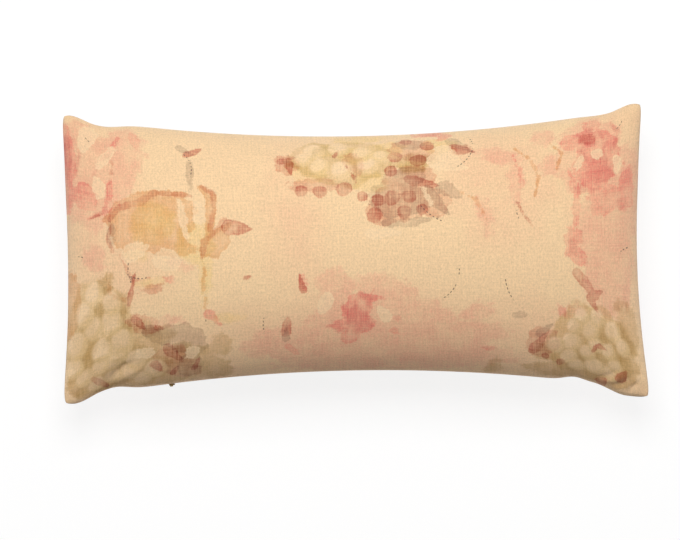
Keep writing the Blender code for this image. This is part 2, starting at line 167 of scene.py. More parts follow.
bpy.ops.mesh.primitive_plane_add(size=FLOOR_SIZE, location=(0, 0, -FLOOR_DROP))
floor = bpy.context.object
floor.name = "floor"
floor.data.materials.append(floor_material())
print("floor", floor.name)


# %% Lights
SKY_STRENGTH = 0.17
HEAD_POWER = 28.5
SIDE_POWER = 3.2


def soft_box(name, place, aim, size, power):
    """A square area light that faces a point."""
    data = bpy.data.lights.new(name, "AREA")
    data.size = size
    data.energy = power
    lamp = add_object(name, data)
    lamp.location = place
    lamp.rotation_euler = (Vector(aim) - Vector(place)).to_track_quat("-Z", "Y").to_euler()


sky = bpy.data.worlds.new("pale_sky")
sky.use_nodes = True
sky.node_tree.nodes["Background"].inputs["Color"].default_value = (1.0, 0.98, 0.95, 1)
sky.node_tree.nodes["Background"].inputs["Strength"].default_value = SKY_STRENGTH
bpy.context.scene.world = sky
soft_box("head_light", (-0.05, 0.77, 1.80), (0, 0, SEAM_HEIGHT), 0.9, HEAD_POWER)
for turn in (-1, 1):
    aim = (0.2 * turn, 0, SEAM_HEIGHT)
    soft_box(f"side_light_{turn}", (1.30 * turn, 0.10, 0.55), aim, 0.7, SIDE_POWER)

# %% [markdown]
# ## The cover as a bag
# A real cover is two flat rectangles, sewn together at the rim and blown up by the insert. The
# same happens here: one bag of two grids that share their rim, a shape key that says how large
# the cloth was cut, and a Cloth modifier with pressure inside. The seam is pinned along its real
# line, because a free bag of this shape draws in too far. Its line follows the zip's arc in the
# middle and turns into small rounded ears at the corners.

# %% The seam line and the form that the cloth starts from
CELLS_LONG = 144
CELLS_WIDE = 72
SIDE_BOW = {-1: 0.0065, 1: 0.0110}
# Each corner by (end, side). The seam dips before its ear: how far, at which X, over what width.
# Then the ear stands out past the arc: how far, from which X, over what run. Last, its shift in X.
EARS = {
    (-1, -1): (0.0045, 0.242, 0.018, 0.0058, 0.256, 0.028, 0.0010),
    (1, -1): (0.0040, 0.218, 0.014, 0.0083, 0.236, 0.034, 0.0005),
    (-1, 1): (0.0045, 0.250, 0.022, 0.0035, 0.258, 0.028, -0.0020),
    (1, 1): (0.0010, 0.246, 0.015, 0.0055, 0.255, 0.028, -0.0025),
}
CORNER_ROUNDING = 0.011
FORM_ANGLE = math.radians(68)
FORM_HEIGHT = 0.075


def smoothstep(low, high, value):
    """0 below low, 1 above high, and an S curve between them."""
    x = np.clip((value - low) / (high - low), 0, 1)
    return x * x * (3 - 2 * x)


def seam_y(x, side):
    """Distance of the seam from the middle line at x, on the side +1 or -1."""
    line = HALF_WAIST + EDGE_RADIUS - np.sqrt(EDGE_RADIUS**2 - x**2)
    for end in (-1, 1):
        dip, dip_x, dip_width, reach, start, run, _ = EARS[end, side]
        out = end * x
        line = line - dip * np.exp(-(((out - dip_x) / dip_width) ** 2))
        line = line + reach * smoothstep(start, start + run, out)
    return line


def bag_form(a, b, side):
    """The start form. a and b run from -1 to 1 over the flat cloth, side is +1 on the front."""
    v = np.sin(FORM_ANGLE * b) / math.sin(FORM_ANGLE)
    u = a * (1 + 0.05 * (1 - a * a))
    bow = np.where(u < 0, SIDE_BOW[-1], SIDE_BOW[1]) * (1 - v * v)
    ear_shift = np.zeros_like(u)
    for (end, edge), ear in EARS.items():
        near = smoothstep(0.35, 1.0, v * edge) * smoothstep(0.75, 1.0, u * end)
        ear_shift += end * ear[-1] * near
    tip = np.abs(u) ** 36 * np.abs(v) ** 18
    x = u * (HALF_LENGTH - bow) * (1 - CORNER_ROUNDING * tip) + ear_shift
    upper = (v + 1) / 2
    half = seam_y(x, -1) * (1 - upper) + seam_y(x, 1) * upper
    y = v * half * (1 - 2 * CORNER_ROUNDING * tip)
    crown = np.sqrt(np.clip(1 - u**4, 0, 1)) * np.sqrt(np.clip(1 - v * v, 0, 1))
    z = FORM_HEIGHT * crown * (1 - 0.35 * u**4 * v * v)
    return np.stack([x, y, SEAM_HEIGHT + side * z], axis=-1)


along = np.linspace(-1, 1, CELLS_LONG + 1)
across = np.linspace(-1, 1, CELLS_WIDE + 1)
cloth_a, cloth_b = np.meshgrid(along, across, indexing="ij")
front_form = bag_form(cloth_a, cloth_b, 1)
back_form = bag_form(cloth_a, cloth_b, -1)
print("start form", front_form.reshape(-1, 3).min(0), front_form.reshape(-1, 3).max(0))

# %% Blow the bag up
FRAMES = 24
CLOTH_SETTINGS = {
    "quality": 6, "mass": 0.15, "air_damping": 2.0,
    "tension_stiffness": 30, "compression_stiffness": 30, "shear_stiffness": 8,
    "bending_stiffness": 0.4, "tension_damping": 10, "compression_damping": 10,
    "shear_damping": 10, "bending_damping": 1,
    "use_pressure": True, "uniform_pressure_force": 4.0, "vertex_group_mass": "seam",
}


def grid_quads(index):
    """Faces of a grid of vertex numbers, anticlockwise seen from +Z."""
    corners = (index[:-1, :-1], index[1:, :-1], index[1:, 1:], index[:-1, 1:])
    return np.stack(corners, axis=-1).reshape(-1, 4)


def blown_up(front, back):
    """Both halves of the bag after the simulation, as grids of points."""
    rim = np.ones(front.shape[:2], bool)
    rim[1:-1, 1:-1] = False
    front_index = np.arange(rim.size).reshape(rim.shape)
    back_index = front_index.copy()
    back_index[~rim] = rim.size + np.arange((~rim).sum())
    points = np.concatenate([front.reshape(-1, 3), back[~rim]])
    faces = np.concatenate([grid_quads(front_index), grid_quads(back_index)[:, ::-1]])
    mesh = bpy.data.meshes.new("bag")
    mesh.from_pydata(points, [], faces.tolist())
    bag = add_object("bag", mesh)

    flat = np.stack([cloth_a * FINISHED_LENGTH / 2, cloth_b * FINISHED_WIDTH / 2], axis=-1)
    thin = np.where(rim, 0.0, 0.0005)
    flat_front = np.concatenate([flat, thin[..., None]], axis=-1)
    flat_back = flat_front * (1, 1, -1)
    cut = np.concatenate([flat_front.reshape(-1, 3), flat_back[~rim]])
    bag.shape_key_add(name="Basis")
    key = bag.shape_key_add(name="cut_flat")
    key.data.foreach_set("co", cut.astype(np.float32).ravel())
    key.value = 0.0

    pins = bag.vertex_groups.new(name="seam")
    pins.add(front_index[rim].tolist(), 1.0, "REPLACE")
    cloth = bag.modifiers.new("Cloth", "CLOTH")
    for label, value in CLOTH_SETTINGS.items():
        setattr(cloth.settings, label, value)
    cloth.settings.rest_shape_key = key
    cloth.settings.effector_weights.gravity = 0
    cloth.point_cache.frame_start = 1
    cloth.point_cache.frame_end = FRAMES
    for number in range(1, FRAMES + 1):
        bpy.context.scene.frame_set(number)
    shaped = bag.evaluated_get(bpy.context.evaluated_depsgraph_get())
    moved = np.zeros(len(shaped.data.vertices) * 3, np.float32)
    shaped.data.vertices.foreach_get("co", moved)
    moved = moved.reshape(-1, 3).astype(float)
    bpy.data.objects.remove(bag)
    bpy.context.scene.frame_set(1)
    return moved[front_index], moved[back_index]


front_cloth, back_cloth = front_form, back_form
front_cloth, back_cloth = blown_up(front_form, back_form)
print("front rises to", round(front_cloth[..., 2].max(), 4))
print("back falls to", round(back_cloth[..., 2].min(), 4))

# %% [markdown]
# ## Finer cloth, with its creases
# The simulated grid is coarse, so each cell is halved by a curve through its neighbours. Then
# come the marks that the simulation is too coarse for: faint puckers that the stitches draw in
# along the seam, and the folds where an ear's spare cloth gathers. They are pushed in along the
# cloth's own normals. Last, the underside is pressed flat where it rests on the ground.


# %% Halve the cells
def halved(grid):
    """The grid with a point added between each pair, along its first axis, on a smooth curve."""
    before = np.concatenate([2 * grid[:1] - grid[1:2], grid[:-2]])
    after = np.concatenate([grid[2:], 2 * grid[-1:] - grid[-2:-1]])
    middle = (9 * (grid[:-1] + grid[1:]) - before - after) / 16
    finer = np.empty((2 * len(grid) - 1, *grid.shape[1:]))
    finer[::2] = grid
    finer[1::2] = middle
    return finer


def finer_grid(grid):
    """The grid halved both ways."""
    return np.swapaxes(halved(np.swapaxes(halved(grid), 0, 1)), 0, 1)


front_cloth = finer_grid(front_cloth)
back_cloth = finer_grid(back_cloth)
along = np.linspace(-1, 1, 2 * CELLS_LONG + 1)
across = np.linspace(-1, 1, 2 * CELLS_WIDE + 1)
cloth_a, cloth_b = np.meshgrid(along, across, indexing="ij")
cut_x = cloth_a * FINISHED_LENGTH / 2
cut_y = cloth_b * FINISHED_WIDTH / 2
print("cloth grid", front_cloth.shape, "cell", round(FINISHED_LENGTH / 2 / CELLS_LONG * 1000, 2), "mm")


# %% Creases and puckers
def grid_normals(grid, side):
    """Unit normals of a grid of points, outwards on the front (+1) or the back (-1)."""
    normal = np.cross(np.gradient(grid, axis=0), np.gradient(grid, axis=1)) * side
    return normal / np.linalg.norm(normal, axis=-1, keepdims=True)


def crease(x, y, start, end, width, bend=0.0):
    """1 along a fold between two points of the flat cloth, fading to 0 at its width and ends."""
    start, end = np.array(start), np.array(end)
    length = np.linalg.norm(end - start)
    ahead = (end - start) / length
    run = ((x - start[0]) * ahead[0] + (y - start[1]) * ahead[1]) / length
    off = (y - start[1]) * ahead[0] - (x - start[0]) * ahead[1]
    off = off - bend * 4 * run * (1 - run)
    ends = smoothstep(-0.15, 0.35, run) * smoothstep(1.15, 0.65, run)
    return ends * np.exp(-((off / width) ** 2))


FRONT_CREASES = (  # start, end, width, depth (minus stands up), bend
    ((-0.2520, -0.1350), (-0.2250, -0.1060), 0.0042, 0.0022, 0.003),
    ((-0.2440, -0.1410), (-0.2180, -0.1160), 0.0040, -0.0014, 0.002),
    ((-0.2620, -0.1270), (-0.2380, -0.0960), 0.0050, -0.0011, 0.003),
    ((0.2440, -0.1400), (0.2710, -0.1120), 0.0030, 0.0012, -0.002),
    ((0.2510, -0.1420), (0.2790, -0.1150), 0.0030, -0.0010, -0.002),
    ((0.2600, -0.1430), (0.2850, -0.1180), 0.0030, 0.0012, -0.002),
    ((0.2790, -0.1470), (0.2960, -0.1220), 0.0024, 0.0016, 0.001),
    ((-0.2750, 0.1280), (-0.2500, 0.1000), 0.0060, 0.0010, 0.002),
    ((0.2800, 0.1330), (0.2550, 0.1010), 0.0050, 0.0010, -0.002),
)
BACK_CREASES = (
    ((-0.2600, -0.1350), (-0.2280, -0.1050), 0.0050, 0.0018, -0.003),
    ((0.2620, -0.1330), (0.2300, -0.1040), 0.0050, 0.0016, 0.003),
    ((0.2560, 0.1380), (0.2270, 0.1120), 0.0045, 0.0015, 0.002),
    ((-0.2620, 0.1330), (-0.2350, 0.1010), 0.0045, 0.0016, 0.002),
)
PUCKER_DEPTH = 0.00045
PUCKER_REACH = 0.022
RIM_FADE = 0.006
LOWEST = 0.0002
PRESS_BORDER = 0.0009


def puckers(seed):
    """Small hollows along the seam, uneven in spacing and depth, fading into the panel."""
    rng = np.random.default_rng(seed)
    ripple = np.zeros_like(cut_x)
    to_long = FINISHED_WIDTH / 2 - np.abs(cut_y)
    to_short = FINISHED_LENGTH / 2 - np.abs(cut_x)
    for distance, run in ((to_long, cut_x), (to_short, cut_y)):
        wave = np.zeros_like(run)
        for _ in range(9):
            pitch = rng.uniform(0.011, 0.034)
            wave += rng.uniform(0.3, 1.0) * np.sin(2 * math.pi * run / pitch + rng.uniform(0, 6.28))
        fade = np.exp(-distance / PUCKER_REACH) * smoothstep(0.0, RIM_FADE, distance)
        ripple += wave / 3 * fade
    return ripple * PUCKER_DEPTH


def creased(grid, side, creases, seed):
    """The grid with its puckers and folds pushed in."""
    depth = puckers(seed)
    for start, end, width, amount, bend in creases:
        depth += amount * crease(cut_x, cut_y, start, end, width, bend)
    rim_fade = smoothstep(0.0, RIM_FADE, FINISHED_WIDTH / 2 - np.abs(cut_y))
    rim_fade *= smoothstep(0.0, RIM_FADE, FINISHED_LENGTH / 2 - np.abs(cut_x))
    return grid - grid_normals(grid, side) * (depth * rim_fade)[..., None]


def pressed(grid):
    """The back with whatever would sink into the ground pressed flat, with a soft border."""
    z = grid[..., 2] - LOWEST
    flat = grid.copy()
    flat[..., 2] = LOWEST + (z + np.sqrt(z * z + PRESS_BORDER**2)) / 2
    return flat


front_cloth = creased(front_cloth, 1, FRONT_CREASES, 3)
back_cloth = pressed(creased(back_cloth, -1, BACK_CREASES, 4))
print("back rests at", round(back_cloth[..., 2].min() * 1000, 2), "mm")

# %% [markdown]
# ## The two linen panels
# Each panel is one piece of cloth: the face that shows, a small roll over the seam, and the seam
# allowance that lies turned in against the inside. The rows past the rim are made here from the
# rim's own inward direction, so the roll and the allowance follow the seam everywhere. The two
# rolls meet in a fine groove, and they part to a slot where the zip is. A Solidify modifier
# gives the cloth its thickness.

# %% The rim, and where the seam opens for the zip
ZIP_HALF_LENGTH = 0.1925
SLOT_HALF_WIDTH = 0.0015
SLOT_PAST_ZIP = 0.0075
SLOT_FADE = 0.030
SEAM_GAP = 0.00018
ROLL_INSET = 0.0019
ALLOWANCE = 0.0100
ROLL = ((0.0, 0.0008), (0.00025, 0.00035), (0.00095, 0.0), (0.00165, 0.00035), (0.0019, 0.0009))
ALLOWANCE_ROWS = (0.0030, 0.0065, ALLOWANCE)
CLIPPED_CORNER = 0.022
RING_PLACES = (0.0007, 0.0016, 0.0025, 0.0034, *(0.0040 + row for row in ALLOWANCE_ROWS))


def rim_walk():
    """Row and column of each point round the rim, anticlockwise from the lower left corner."""
    last_i, last_j = cloth_a.shape[0] - 1, cloth_a.shape[1] - 1
    walk = [(i, 0) for i in range(last_i)]
    walk += [(last_i, j) for j in range(last_j)]
    walk += [(i, last_j) for i in range(last_i, 0, -1)]
    walk += [(0, j) for j in range(last_j, 0, -1)]
    return np.array(walk)


def at_rim(grid):
    """The grid's values along the rim."""
    return grid[rim[:, 0], rim[:, 1]]


rim = rim_walk()
rim_points = at_rim(front_cloth)
rim_ahead = np.roll(rim_points, -2, axis=0) - np.roll(rim_points, 2, axis=0)
rim_inward = np.stack([-rim_ahead[:, 1], rim_ahead[:, 0], 0 * rim_ahead[:, 0]], axis=-1)
rim_inward /= np.linalg.norm(rim_inward, axis=-1, keepdims=True)
rim_cut = np.stack([at_rim(cut_x), at_rim(cut_y)], axis=-1)
corner_distance = np.abs(np.abs(rim_cut) - (FINISHED_LENGTH / 2, FINISHED_WIDTH / 2)).sum(axis=1)
on_zip_side = rim[:, 1] == 0
past_zip = np.abs(rim_points[:, 0]) - ZIP_HALF_LENGTH - SLOT_PAST_ZIP
slot = SLOT_HALF_WIDTH * on_zip_side * (1 - smoothstep(0, SLOT_FADE, past_zip))
rim_steps = np.linalg.norm(np.roll(rim_points, -1, axis=0) - rim_points, axis=1)
print("rim points", len(rim), "seam length", round(float(rim_steps.sum()), 3))


# %% Build a panel
def corner_vertices(mesh):
    """The vertex number at each face corner."""
    corners = np.empty(len(mesh.loops), np.int32)
    mesh.loops.foreach_get("vertex_index", corners)
    return corners


def set_places(mesh, places):
    """Stores each vertex's place on the flat cloth, in metres, as the mesh's UV map."""
    uv = places[corner_vertices(mesh)].astype(np.float32).ravel()
    mesh.uv_layers.new(name="cloth").data.foreach_set("uv", uv)


def inside_point(grid, normals, distance, depth):
    """Points that lie a distance along the cloth from the rim, and a depth under it."""
    cell = FINISHED_LENGTH / 2 / CELLS_LONG
    steps = distance / cell
    low = int(steps)
    part = steps - low
    last_i, last_j = grid.shape[0] - 1, grid.shape[1] - 1
    found = np.empty((len(rim), 3))
    for k, (i, j) in enumerate(rim):
        along_i = int(i == 0) - int(i == last_i)
        along_j = int(j == 0) - int(j == last_j)
        if along_i and along_j:
            along_i = 0
        near = (i + along_i * low, j + along_j * low)
        far = (i + along_i * (low + 1), j + along_j * (low + 1))
        place = grid[near] * (1 - part) + grid[far] * part
        found[k] = place - (normals[near] * (1 - part) + normals[far] * part) * depth
    return found


def panel_points(grid, side):
    """All the points of a panel: its grid, then the rows of its roll and its allowance."""
    shaped = grid.copy()
    lift = SEAM_GAP + slot
    shaped[rim[:, 0], rim[:, 1], 2] = SEAM_HEIGHT + side * (lift + ROLL[0][1])
    lift_grid = np.interp(shaped[:, :1, 0], rim_points[on_zip_side][:, 0], lift[on_zip_side])
    up_panel = FINISHED_WIDTH / 2 + cut_y
    interior = np.ones(cloth_a.shape, bool)
    interior[0] = interior[-1] = False
    interior[:, 0] = interior[:, -1] = False
    shaped[..., 2] += side * interior * lift_grid * (1 - smoothstep(0.0, 0.014, up_panel))
    normals = grid_normals(shaped, side)
    base = at_rim(shaped)
    rows = []
    for inset, height in ROLL[1:]:
        row = base + rim_inward * inset
        row[:, 2] = SEAM_HEIGHT + side * (lift + height)
        rows.append(row)
    for distance in ALLOWANCE_ROWS:
        rows.append(inside_point(shaped, normals, distance, ROLL_INSET))
    return shaped, rows


def panel_mesh(name, grid, side):
    """The panel as a mesh with its cut position, in metres, as its UV map."""
    shaped, rows = panel_points(grid, side)
    count = cloth_a.size
    index = np.arange(count).reshape(cloth_a.shape)
    quads = grid_quads(index) if side > 0 else grid_quads(index)[:, ::-1]
    faces = [tuple(quad) for quad in quads]
    points = [shaped.reshape(-1, 3)]
    places = [np.stack([cut_x, cut_y], axis=-1).reshape(-1, 2)]
    outer = at_rim(index)
    kept = corner_distance > CLIPPED_CORNER
    for number, row in enumerate(rows):
        ring = count + np.arange(len(rim))
        count += len(rim)
        points.append(row)
        places.append(rim_cut - rim_inward[:, :2] * RING_PLACES[number])
        for k in range(len(rim)):
            after = (k + 1) % len(rim)
            if number >= len(ROLL) - 1 and not (kept[k] and kept[after]):
                continue
            quad = (outer[k], outer[after], ring[after], ring[k])
            faces.append(quad if side < 0 else quad[::-1])
        outer = ring
    points = np.concatenate(points)
    places = np.concatenate(places)
    mesh = bpy.data.meshes.new(name)
    mesh.from_pydata(points, [], [tuple(int(n) for n in face) for face in faces])
    set_places(mesh, places)
    return mesh


def drop_loose(mesh):
    """Removes points that no face uses."""
    bm = bmesh.new()
    bm.from_mesh(mesh)
    bmesh.ops.delete(bm, geom=[v for v in bm.verts if not v.link_faces], context="VERTS")
    bm.to_mesh(mesh)
    bm.free()


def apply_modifier(item, kind, **settings):
    """Adds a modifier and applies it."""
    select_only(item)
    modifier = item.modifiers.new(kind.title(), kind)
    for key, value in settings.items():
        setattr(modifier, key, value)
    bpy.ops.object.modifier_apply(modifier=modifier.name)


def keep_to_side(mesh, side, gap):
    """Moves points that crossed the seam's plane back to their own side of it."""
    points = np.empty(len(mesh.vertices) * 3, np.float32)
    mesh.vertices.foreach_get("co", points)
    points = points.reshape(-1, 3)
    limit = SEAM_HEIGHT + side * gap
    points[:, 2] = np.maximum(points[:, 2], limit) if side > 0 else np.minimum(points[:, 2], limit)
    mesh.vertices.foreach_set("co", points.ravel())
    mesh.update()


def cover_panel(name, grid, side):
    """One finished panel of the cover, in place."""
    mesh = panel_mesh(name, grid, side)
    drop_loose(mesh)
    panel = add_object(name, mesh)
    apply_modifier(panel, "SOLIDIFY", thickness=CLOTH, offset=-1.0)
    keep_to_side(mesh, side, SEAM_GAP * 0.6)
    mesh.shade_smooth()
    mesh.calc_loop_triangles()
    print(name, len(mesh.loop_triangles), "triangles")
    return panel


front_panel = cover_panel("cover_front", front_cloth, 1)
back_panel = cover_panel("cover_back", back_cloth, -1)
for panel, side in ((front_panel, "front"), (back_panel, "back")):
    stand_in(panel, "pillow", f"cover_{side}_panel")


# %% [markdown]
# ## The insert
# Inside the cover is a cotton casing full of loose fibre. The cover squeezes it, so it takes the
# cover's own shape: its grids are read from the cover's, a little under the face, and brought
# down to the seam's plane at a flat lip, where the casing's two sides are sewn together. The
# filling is one closed body under the casing, lumpy as fibre clusters are.

# %% Layers under the cover
LAYER_LONG = 145
LAYER_WIDE = 73
LIP = 0.0028
CLOSING = 0.013
CASING_MARGIN = 0.0125
CASING_GAP = 0.0020
CASING_CLOTH = 0.0004
LIP_GAP = 0.0002
SIDES = ((1, "front"), (-1, "back"))


def read_grid(grid, x, y, margin=0.0):
    """Points of a grid, whose edge lies a margin inside the flat cloth's, at places between its own."""
    half_long, half_wide = FINISHED_LENGTH / 2 - margin, FINISHED_WIDTH / 2 - margin
    i = (x + half_long) / (2 * half_long) * (grid.shape[0] - 1)
    j = (y + half_wide) / (2 * half_wide) * (grid.shape[1] - 1)
    low_i = np.clip(i.astype(int), 0, grid.shape[0] - 2)
    low_j = np.clip(j.astype(int), 0, grid.shape[1] - 2)
    i = (i - low_i)[..., None]
    j = (j - low_j)[..., None]
    left = grid[low_i, low_j] * (1 - j) + grid[low_i, low_j + 1] * j
    right = grid[low_i + 1, low_j] * (1 - j) + grid[low_i + 1, low_j + 1] * j
    return left * (1 - i) + right * i


def layer_pair(margin, gap, lip, lumps=0.0, seed=0):
    """Front and back grids of a layer inside the cover, and their places on the flat cloth."""
    half_long, half_wide = FINISHED_LENGTH / 2 - margin, FINISHED_WIDTH / 2 - margin
    x, y = np.meshgrid(
        np.linspace(-half_long, half_long, LAYER_LONG),
        np.linspace(-half_wide, half_wide, LAYER_WIDE),
        indexing="ij",
    )
    edge = np.minimum(half_long - np.abs(x), half_wide - np.abs(y))
    rise = np.sin(math.pi / 2 * np.clip((edge - lip) / CLOSING, 0, 1))[..., None]
    rng = np.random.default_rng(seed)
    sides = []
    for grid, side in ((front_cloth, 1), (back_cloth, -1)):
        hollow = np.zeros_like(x)
        for _ in range(14):
            turn, pitch = rng.uniform(0, math.pi), rng.uniform(0.018, 0.060)
            run = x * math.cos(turn) + y * math.sin(turn)
            hollow += np.sin(2 * math.pi * run / pitch + rng.uniform(0, 6.28)) / 14
        normals = grid_normals(grid, side)
        sunk = np.maximum(lumps * (0.5 + hollow * 1.5), 0)[..., None]
        points = read_grid(grid - normals * gap, x, y) - read_grid(normals, x, y) * sunk
        sides.append(points)
    middle = (sides[0] + sides[1]) / 2
    for points in sides:
        points[..., :2] = points[..., :2] * rise + middle[..., :2] * (1 - rise)
        points[..., 2] = SEAM_HEIGHT + (points[..., 2] - SEAM_HEIGHT) * rise[..., 0]
    return sides[0], sides[1], np.stack([x, y], axis=-1)


def grid_mesh(name, grids, places, sides):
    """One mesh of one or two grids, with their places on the flat cloth as a UV map."""
    index = np.arange(places.shape[0] * places.shape[1]).reshape(places.shape[:2])
    faces, points = [], []
    for number, (grid, side) in enumerate(zip(grids, sides)):
        quads = grid_quads(index + number * index.size)
        faces.extend(tuple(int(n) for n in quad) for quad in (quads if side > 0 else quads[:, ::-1]))
        points.append(grid.reshape(-1, 3))
    mesh = bpy.data.meshes.new(name)
    mesh.from_pydata(np.concatenate(points), [], faces)
    set_places(mesh, np.concatenate([places.reshape(-1, 2)] * len(grids)))
    return add_object(name, mesh)


# %% Casing and filling
*casing_grids, casing_places = layer_pair(CASING_MARGIN, CASING_GAP, LIP, 0.0012, 5)
casing_front_grid = casing_grids[0]
casings = []
for grid, (side, face) in zip(casing_grids, SIDES):
    shaped = grid.copy()
    shaped[..., 2] += side * LIP_GAP
    casing = grid_mesh(f"casing_{face}", [shaped], casing_places, [side])
    apply_modifier(casing, "SOLIDIFY", thickness=CASING_CLOTH, offset=1.0)
    casing.data.shade_smooth()
    stand_in(casing, "pillow", f"insert_casing_{face}")
    casings.append(casing)

*filling_grids, filling_places = layer_pair(
    CASING_MARGIN + LIP + 0.0010, CASING_GAP + 0.0011, 0.0, 0.0030, 6
)
filling = grid_mesh("filling", filling_grids, filling_places, [1, -1])
bm = bmesh.new()
bm.from_mesh(filling.data)
bmesh.ops.remove_doubles(bm, verts=bm.verts[:], dist=1e-5)
bm.to_mesh(filling.data)
bm.free()
filling.data.shade_smooth()
stand_in(filling, "pillow", "insert_filling")
casing_edge = casing_front_grid[:, 0, 1].min() - front_cloth[CELLS_LONG, 0, 1]
print("casing's edge", round(casing_edge * 1000, 1), "mm inside the seam")

# %% [markdown]
# ## Small repeated shapes
# Sewing thread shows as single stitches, and a nylon zip as a row of wire loops. Each is drawn
# once as a short bevelled curve and made a mesh, and then copied along its line. A copy has only
# a few dozen faces, because there are hundreds of them.


# %% Wires and copies
def wire(name, points, radius, thin_ends=False, resolution=1):
    """A round wire through the points, as a mesh."""
    curve = bpy.data.curves.new(name, "CURVE")
    curve.dimensions = "3D"
    curve.bevel_depth = radius
    curve.bevel_resolution = resolution
    curve.use_fill_caps = True
    line = curve.splines.new("POLY")
    line.points.add(len(points) - 1)
    for number, (target, point) in enumerate(zip(line.points, points)):
        target.co = (*point, 1)
        target.radius = 0.55 if thin_ends and number in (0, len(points) - 1) else 1.0
    select_only(add_object(name, curve))
    bpy.ops.object.convert(target="MESH")
    item = bpy.context.object
    bpy.ops.object.mode_set(mode="EDIT")
    bpy.ops.mesh.select_all(action="SELECT")
    bpy.ops.mesh.remove_doubles(threshold=0.00001)
    bpy.ops.mesh.normals_make_consistent(inside=False)
    bpy.ops.object.mode_set(mode="OBJECT")
    return item


def spaced(points, pitch):
    """Places about a pitch apart along a line, and its direction at each."""
    steps = np.linalg.norm(np.diff(points, axis=0), axis=1)
    run = np.concatenate([[0], np.cumsum(steps)])
    count = max(2, round(run[-1] / pitch))
    at = (np.arange(count) + 0.5) * run[-1] / count
    places, ahead = [
        np.stack([np.interp(at + shift, run, points[:, k]) for k in range(3)], axis=-1)
        for shift in (0, pitch * 0.4)
    ]
    ahead = ahead - places
    return places, ahead / np.linalg.norm(ahead, axis=1, keepdims=True)


def copies(name, pattern, places, ahead, up):
    """One mesh of copies of a pattern, whose X goes ahead and whose Z goes up. Uses it up."""
    shape = np.empty(len(pattern.data.vertices) * 3)
    pattern.data.vertices.foreach_get("co", shape)
    shape = shape.reshape(1, -1, 3)
    across = np.cross(up, ahead)
    across /= np.linalg.norm(across, axis=1, keepdims=True)
    up = np.cross(ahead, across)
    points = places[:, None] + shape[..., :1] * ahead[:, None]
    points = points + shape[..., 1:2] * across[:, None] + shape[..., 2:] * up[:, None]
    count = shape.shape[1]
    own = [tuple(face.vertices) for face in pattern.data.polygons]
    faces = [tuple(n + k * count for n in face) for k in range(len(places)) for face in own]
    mesh = bpy.data.meshes.new(name)
    mesh.from_pydata(points.reshape(-1, 3), [], faces)
    mesh.shade_smooth()
    bpy.data.objects.remove(pattern)
    print(name, len(places), "copies of", len(own), "faces")
    return add_object(name, mesh)


def stitch(length, radius, dip):
    """One stitch, thinner and deeper at its ends."""
    half = length / 2
    places = ((-half, -dip), (-0.72 * half, 0), (0, 0.15 * dip), (0.72 * half, 0), (half, -dip))
    return wire("stitch", [(x, 0, z) for x, z in places], radius, thin_ends=True)


# %% Seam threads
STITCH_PITCH = 0.0026
THREAD_RADIUS = 0.00022
OPEN_FOR_ZIP = 0.230

thread_line = rim_points + rim_inward * 0.00245
thread_line[:, 2] = SEAM_HEIGHT
opening = on_zip_side & (np.abs(rim_points[:, 0]) < OPEN_FOR_ZIP)
first = np.flatnonzero(opening).max() + 1
sewn = np.roll(np.arange(len(rim)), -first)[: (~opening).sum()]
places, ahead = spaced(thread_line[sewn], STITCH_PITCH)
inwards = np.stack([-ahead[:, 1], ahead[:, 0], 0 * ahead[:, 0]], axis=-1)
cover_thread = copies("cover_thread", stitch(0.0024, THREAD_RADIUS, 0.0002), places, ahead, inwards)
stand_in(cover_thread, "pillow", "cover_seam_thread")


def edge_line(grid, share):
    """The line round a layer's grid, part of the way from its edge to its next row."""
    last_i, last_j = grid.shape[0] - 1, grid.shape[1] - 1
    walk = [(i, 0, 0, 1) for i in range(1, last_i)] + [(last_i, j, -1, 0) for j in range(1, last_j)]
    walk += [(i, last_j, 0, -1) for i in range(last_i - 1, 0, -1)]
    walk += [(0, j, 1, 0) for j in range(last_j - 1, 0, -1)]
    edge = np.array([grid[i, j] for i, j, _, _ in walk])
    nearer = np.array([grid[i + a, j + b] for i, j, a, b in walk])
    line = edge * (1 - share) + nearer * share
    return np.concatenate([line, line[:1]])


rows = []
for grid, (side, _) in zip(casing_grids, SIDES):
    places, ahead = spaced(edge_line(grid, 0.45), STITCH_PITCH)
    inner, _ = spaced(edge_line(grid, 0.95), STITCH_PITCH)
    count = min(len(places), len(inner))
    slope = inner[:count] - places[:count]
    up = np.cross(ahead[:count], slope)
    up *= np.sign(up[:, 2:]) * side
    up /= np.linalg.norm(up, axis=1, keepdims=True)
    lifted = places[:count] + up * (LIP_GAP + CASING_CLOTH + 0.5 * THREAD_RADIUS)
    one = stitch(0.0023, THREAD_RADIUS, 0.0003)
    rows.append(copies(f"insert_row_{side}", one, lifted, ahead[:count], up))


def joined(name, items):
    """Several objects made one."""
    bpy.ops.object.select_all(action="DESELECT")
    for item in items:
        item.select_set(True)
    bpy.context.view_layer.objects.active = items[0]
    bpy.ops.object.join()
    items[0].name = name
    return items[0]


insert_thread = joined("insert_thread", rows)
stand_in(insert_thread, "pillow", "insert_seam_thread")

left_edge = casing_front_grid[0, LAYER_WIDE // 4 : LAYER_WIDE - LAYER_WIDE // 4]
left_edge = left_edge + np.array([-0.0001, 0, 0])
places, ahead = spaced(left_edge, 0.0030)
slanted = ahead * 0.45 + np.array([0, 0, 0.9])
outwards = np.tile([-1.0, 0, 0], (len(places), 1))
closing = copies("closing_stitches", stitch(0.0022, THREAD_RADIUS, 0.0004), places, slanted, outwards)
stand_in(closing, "pillow", "insert_closing_stitch")

# %% [markdown]
# ## The care label
# A short piece of narrow satin tape, blank, with its end caught in the insert's seam. It lies on
# the casing, so its points are the casing's own points, a little above it.


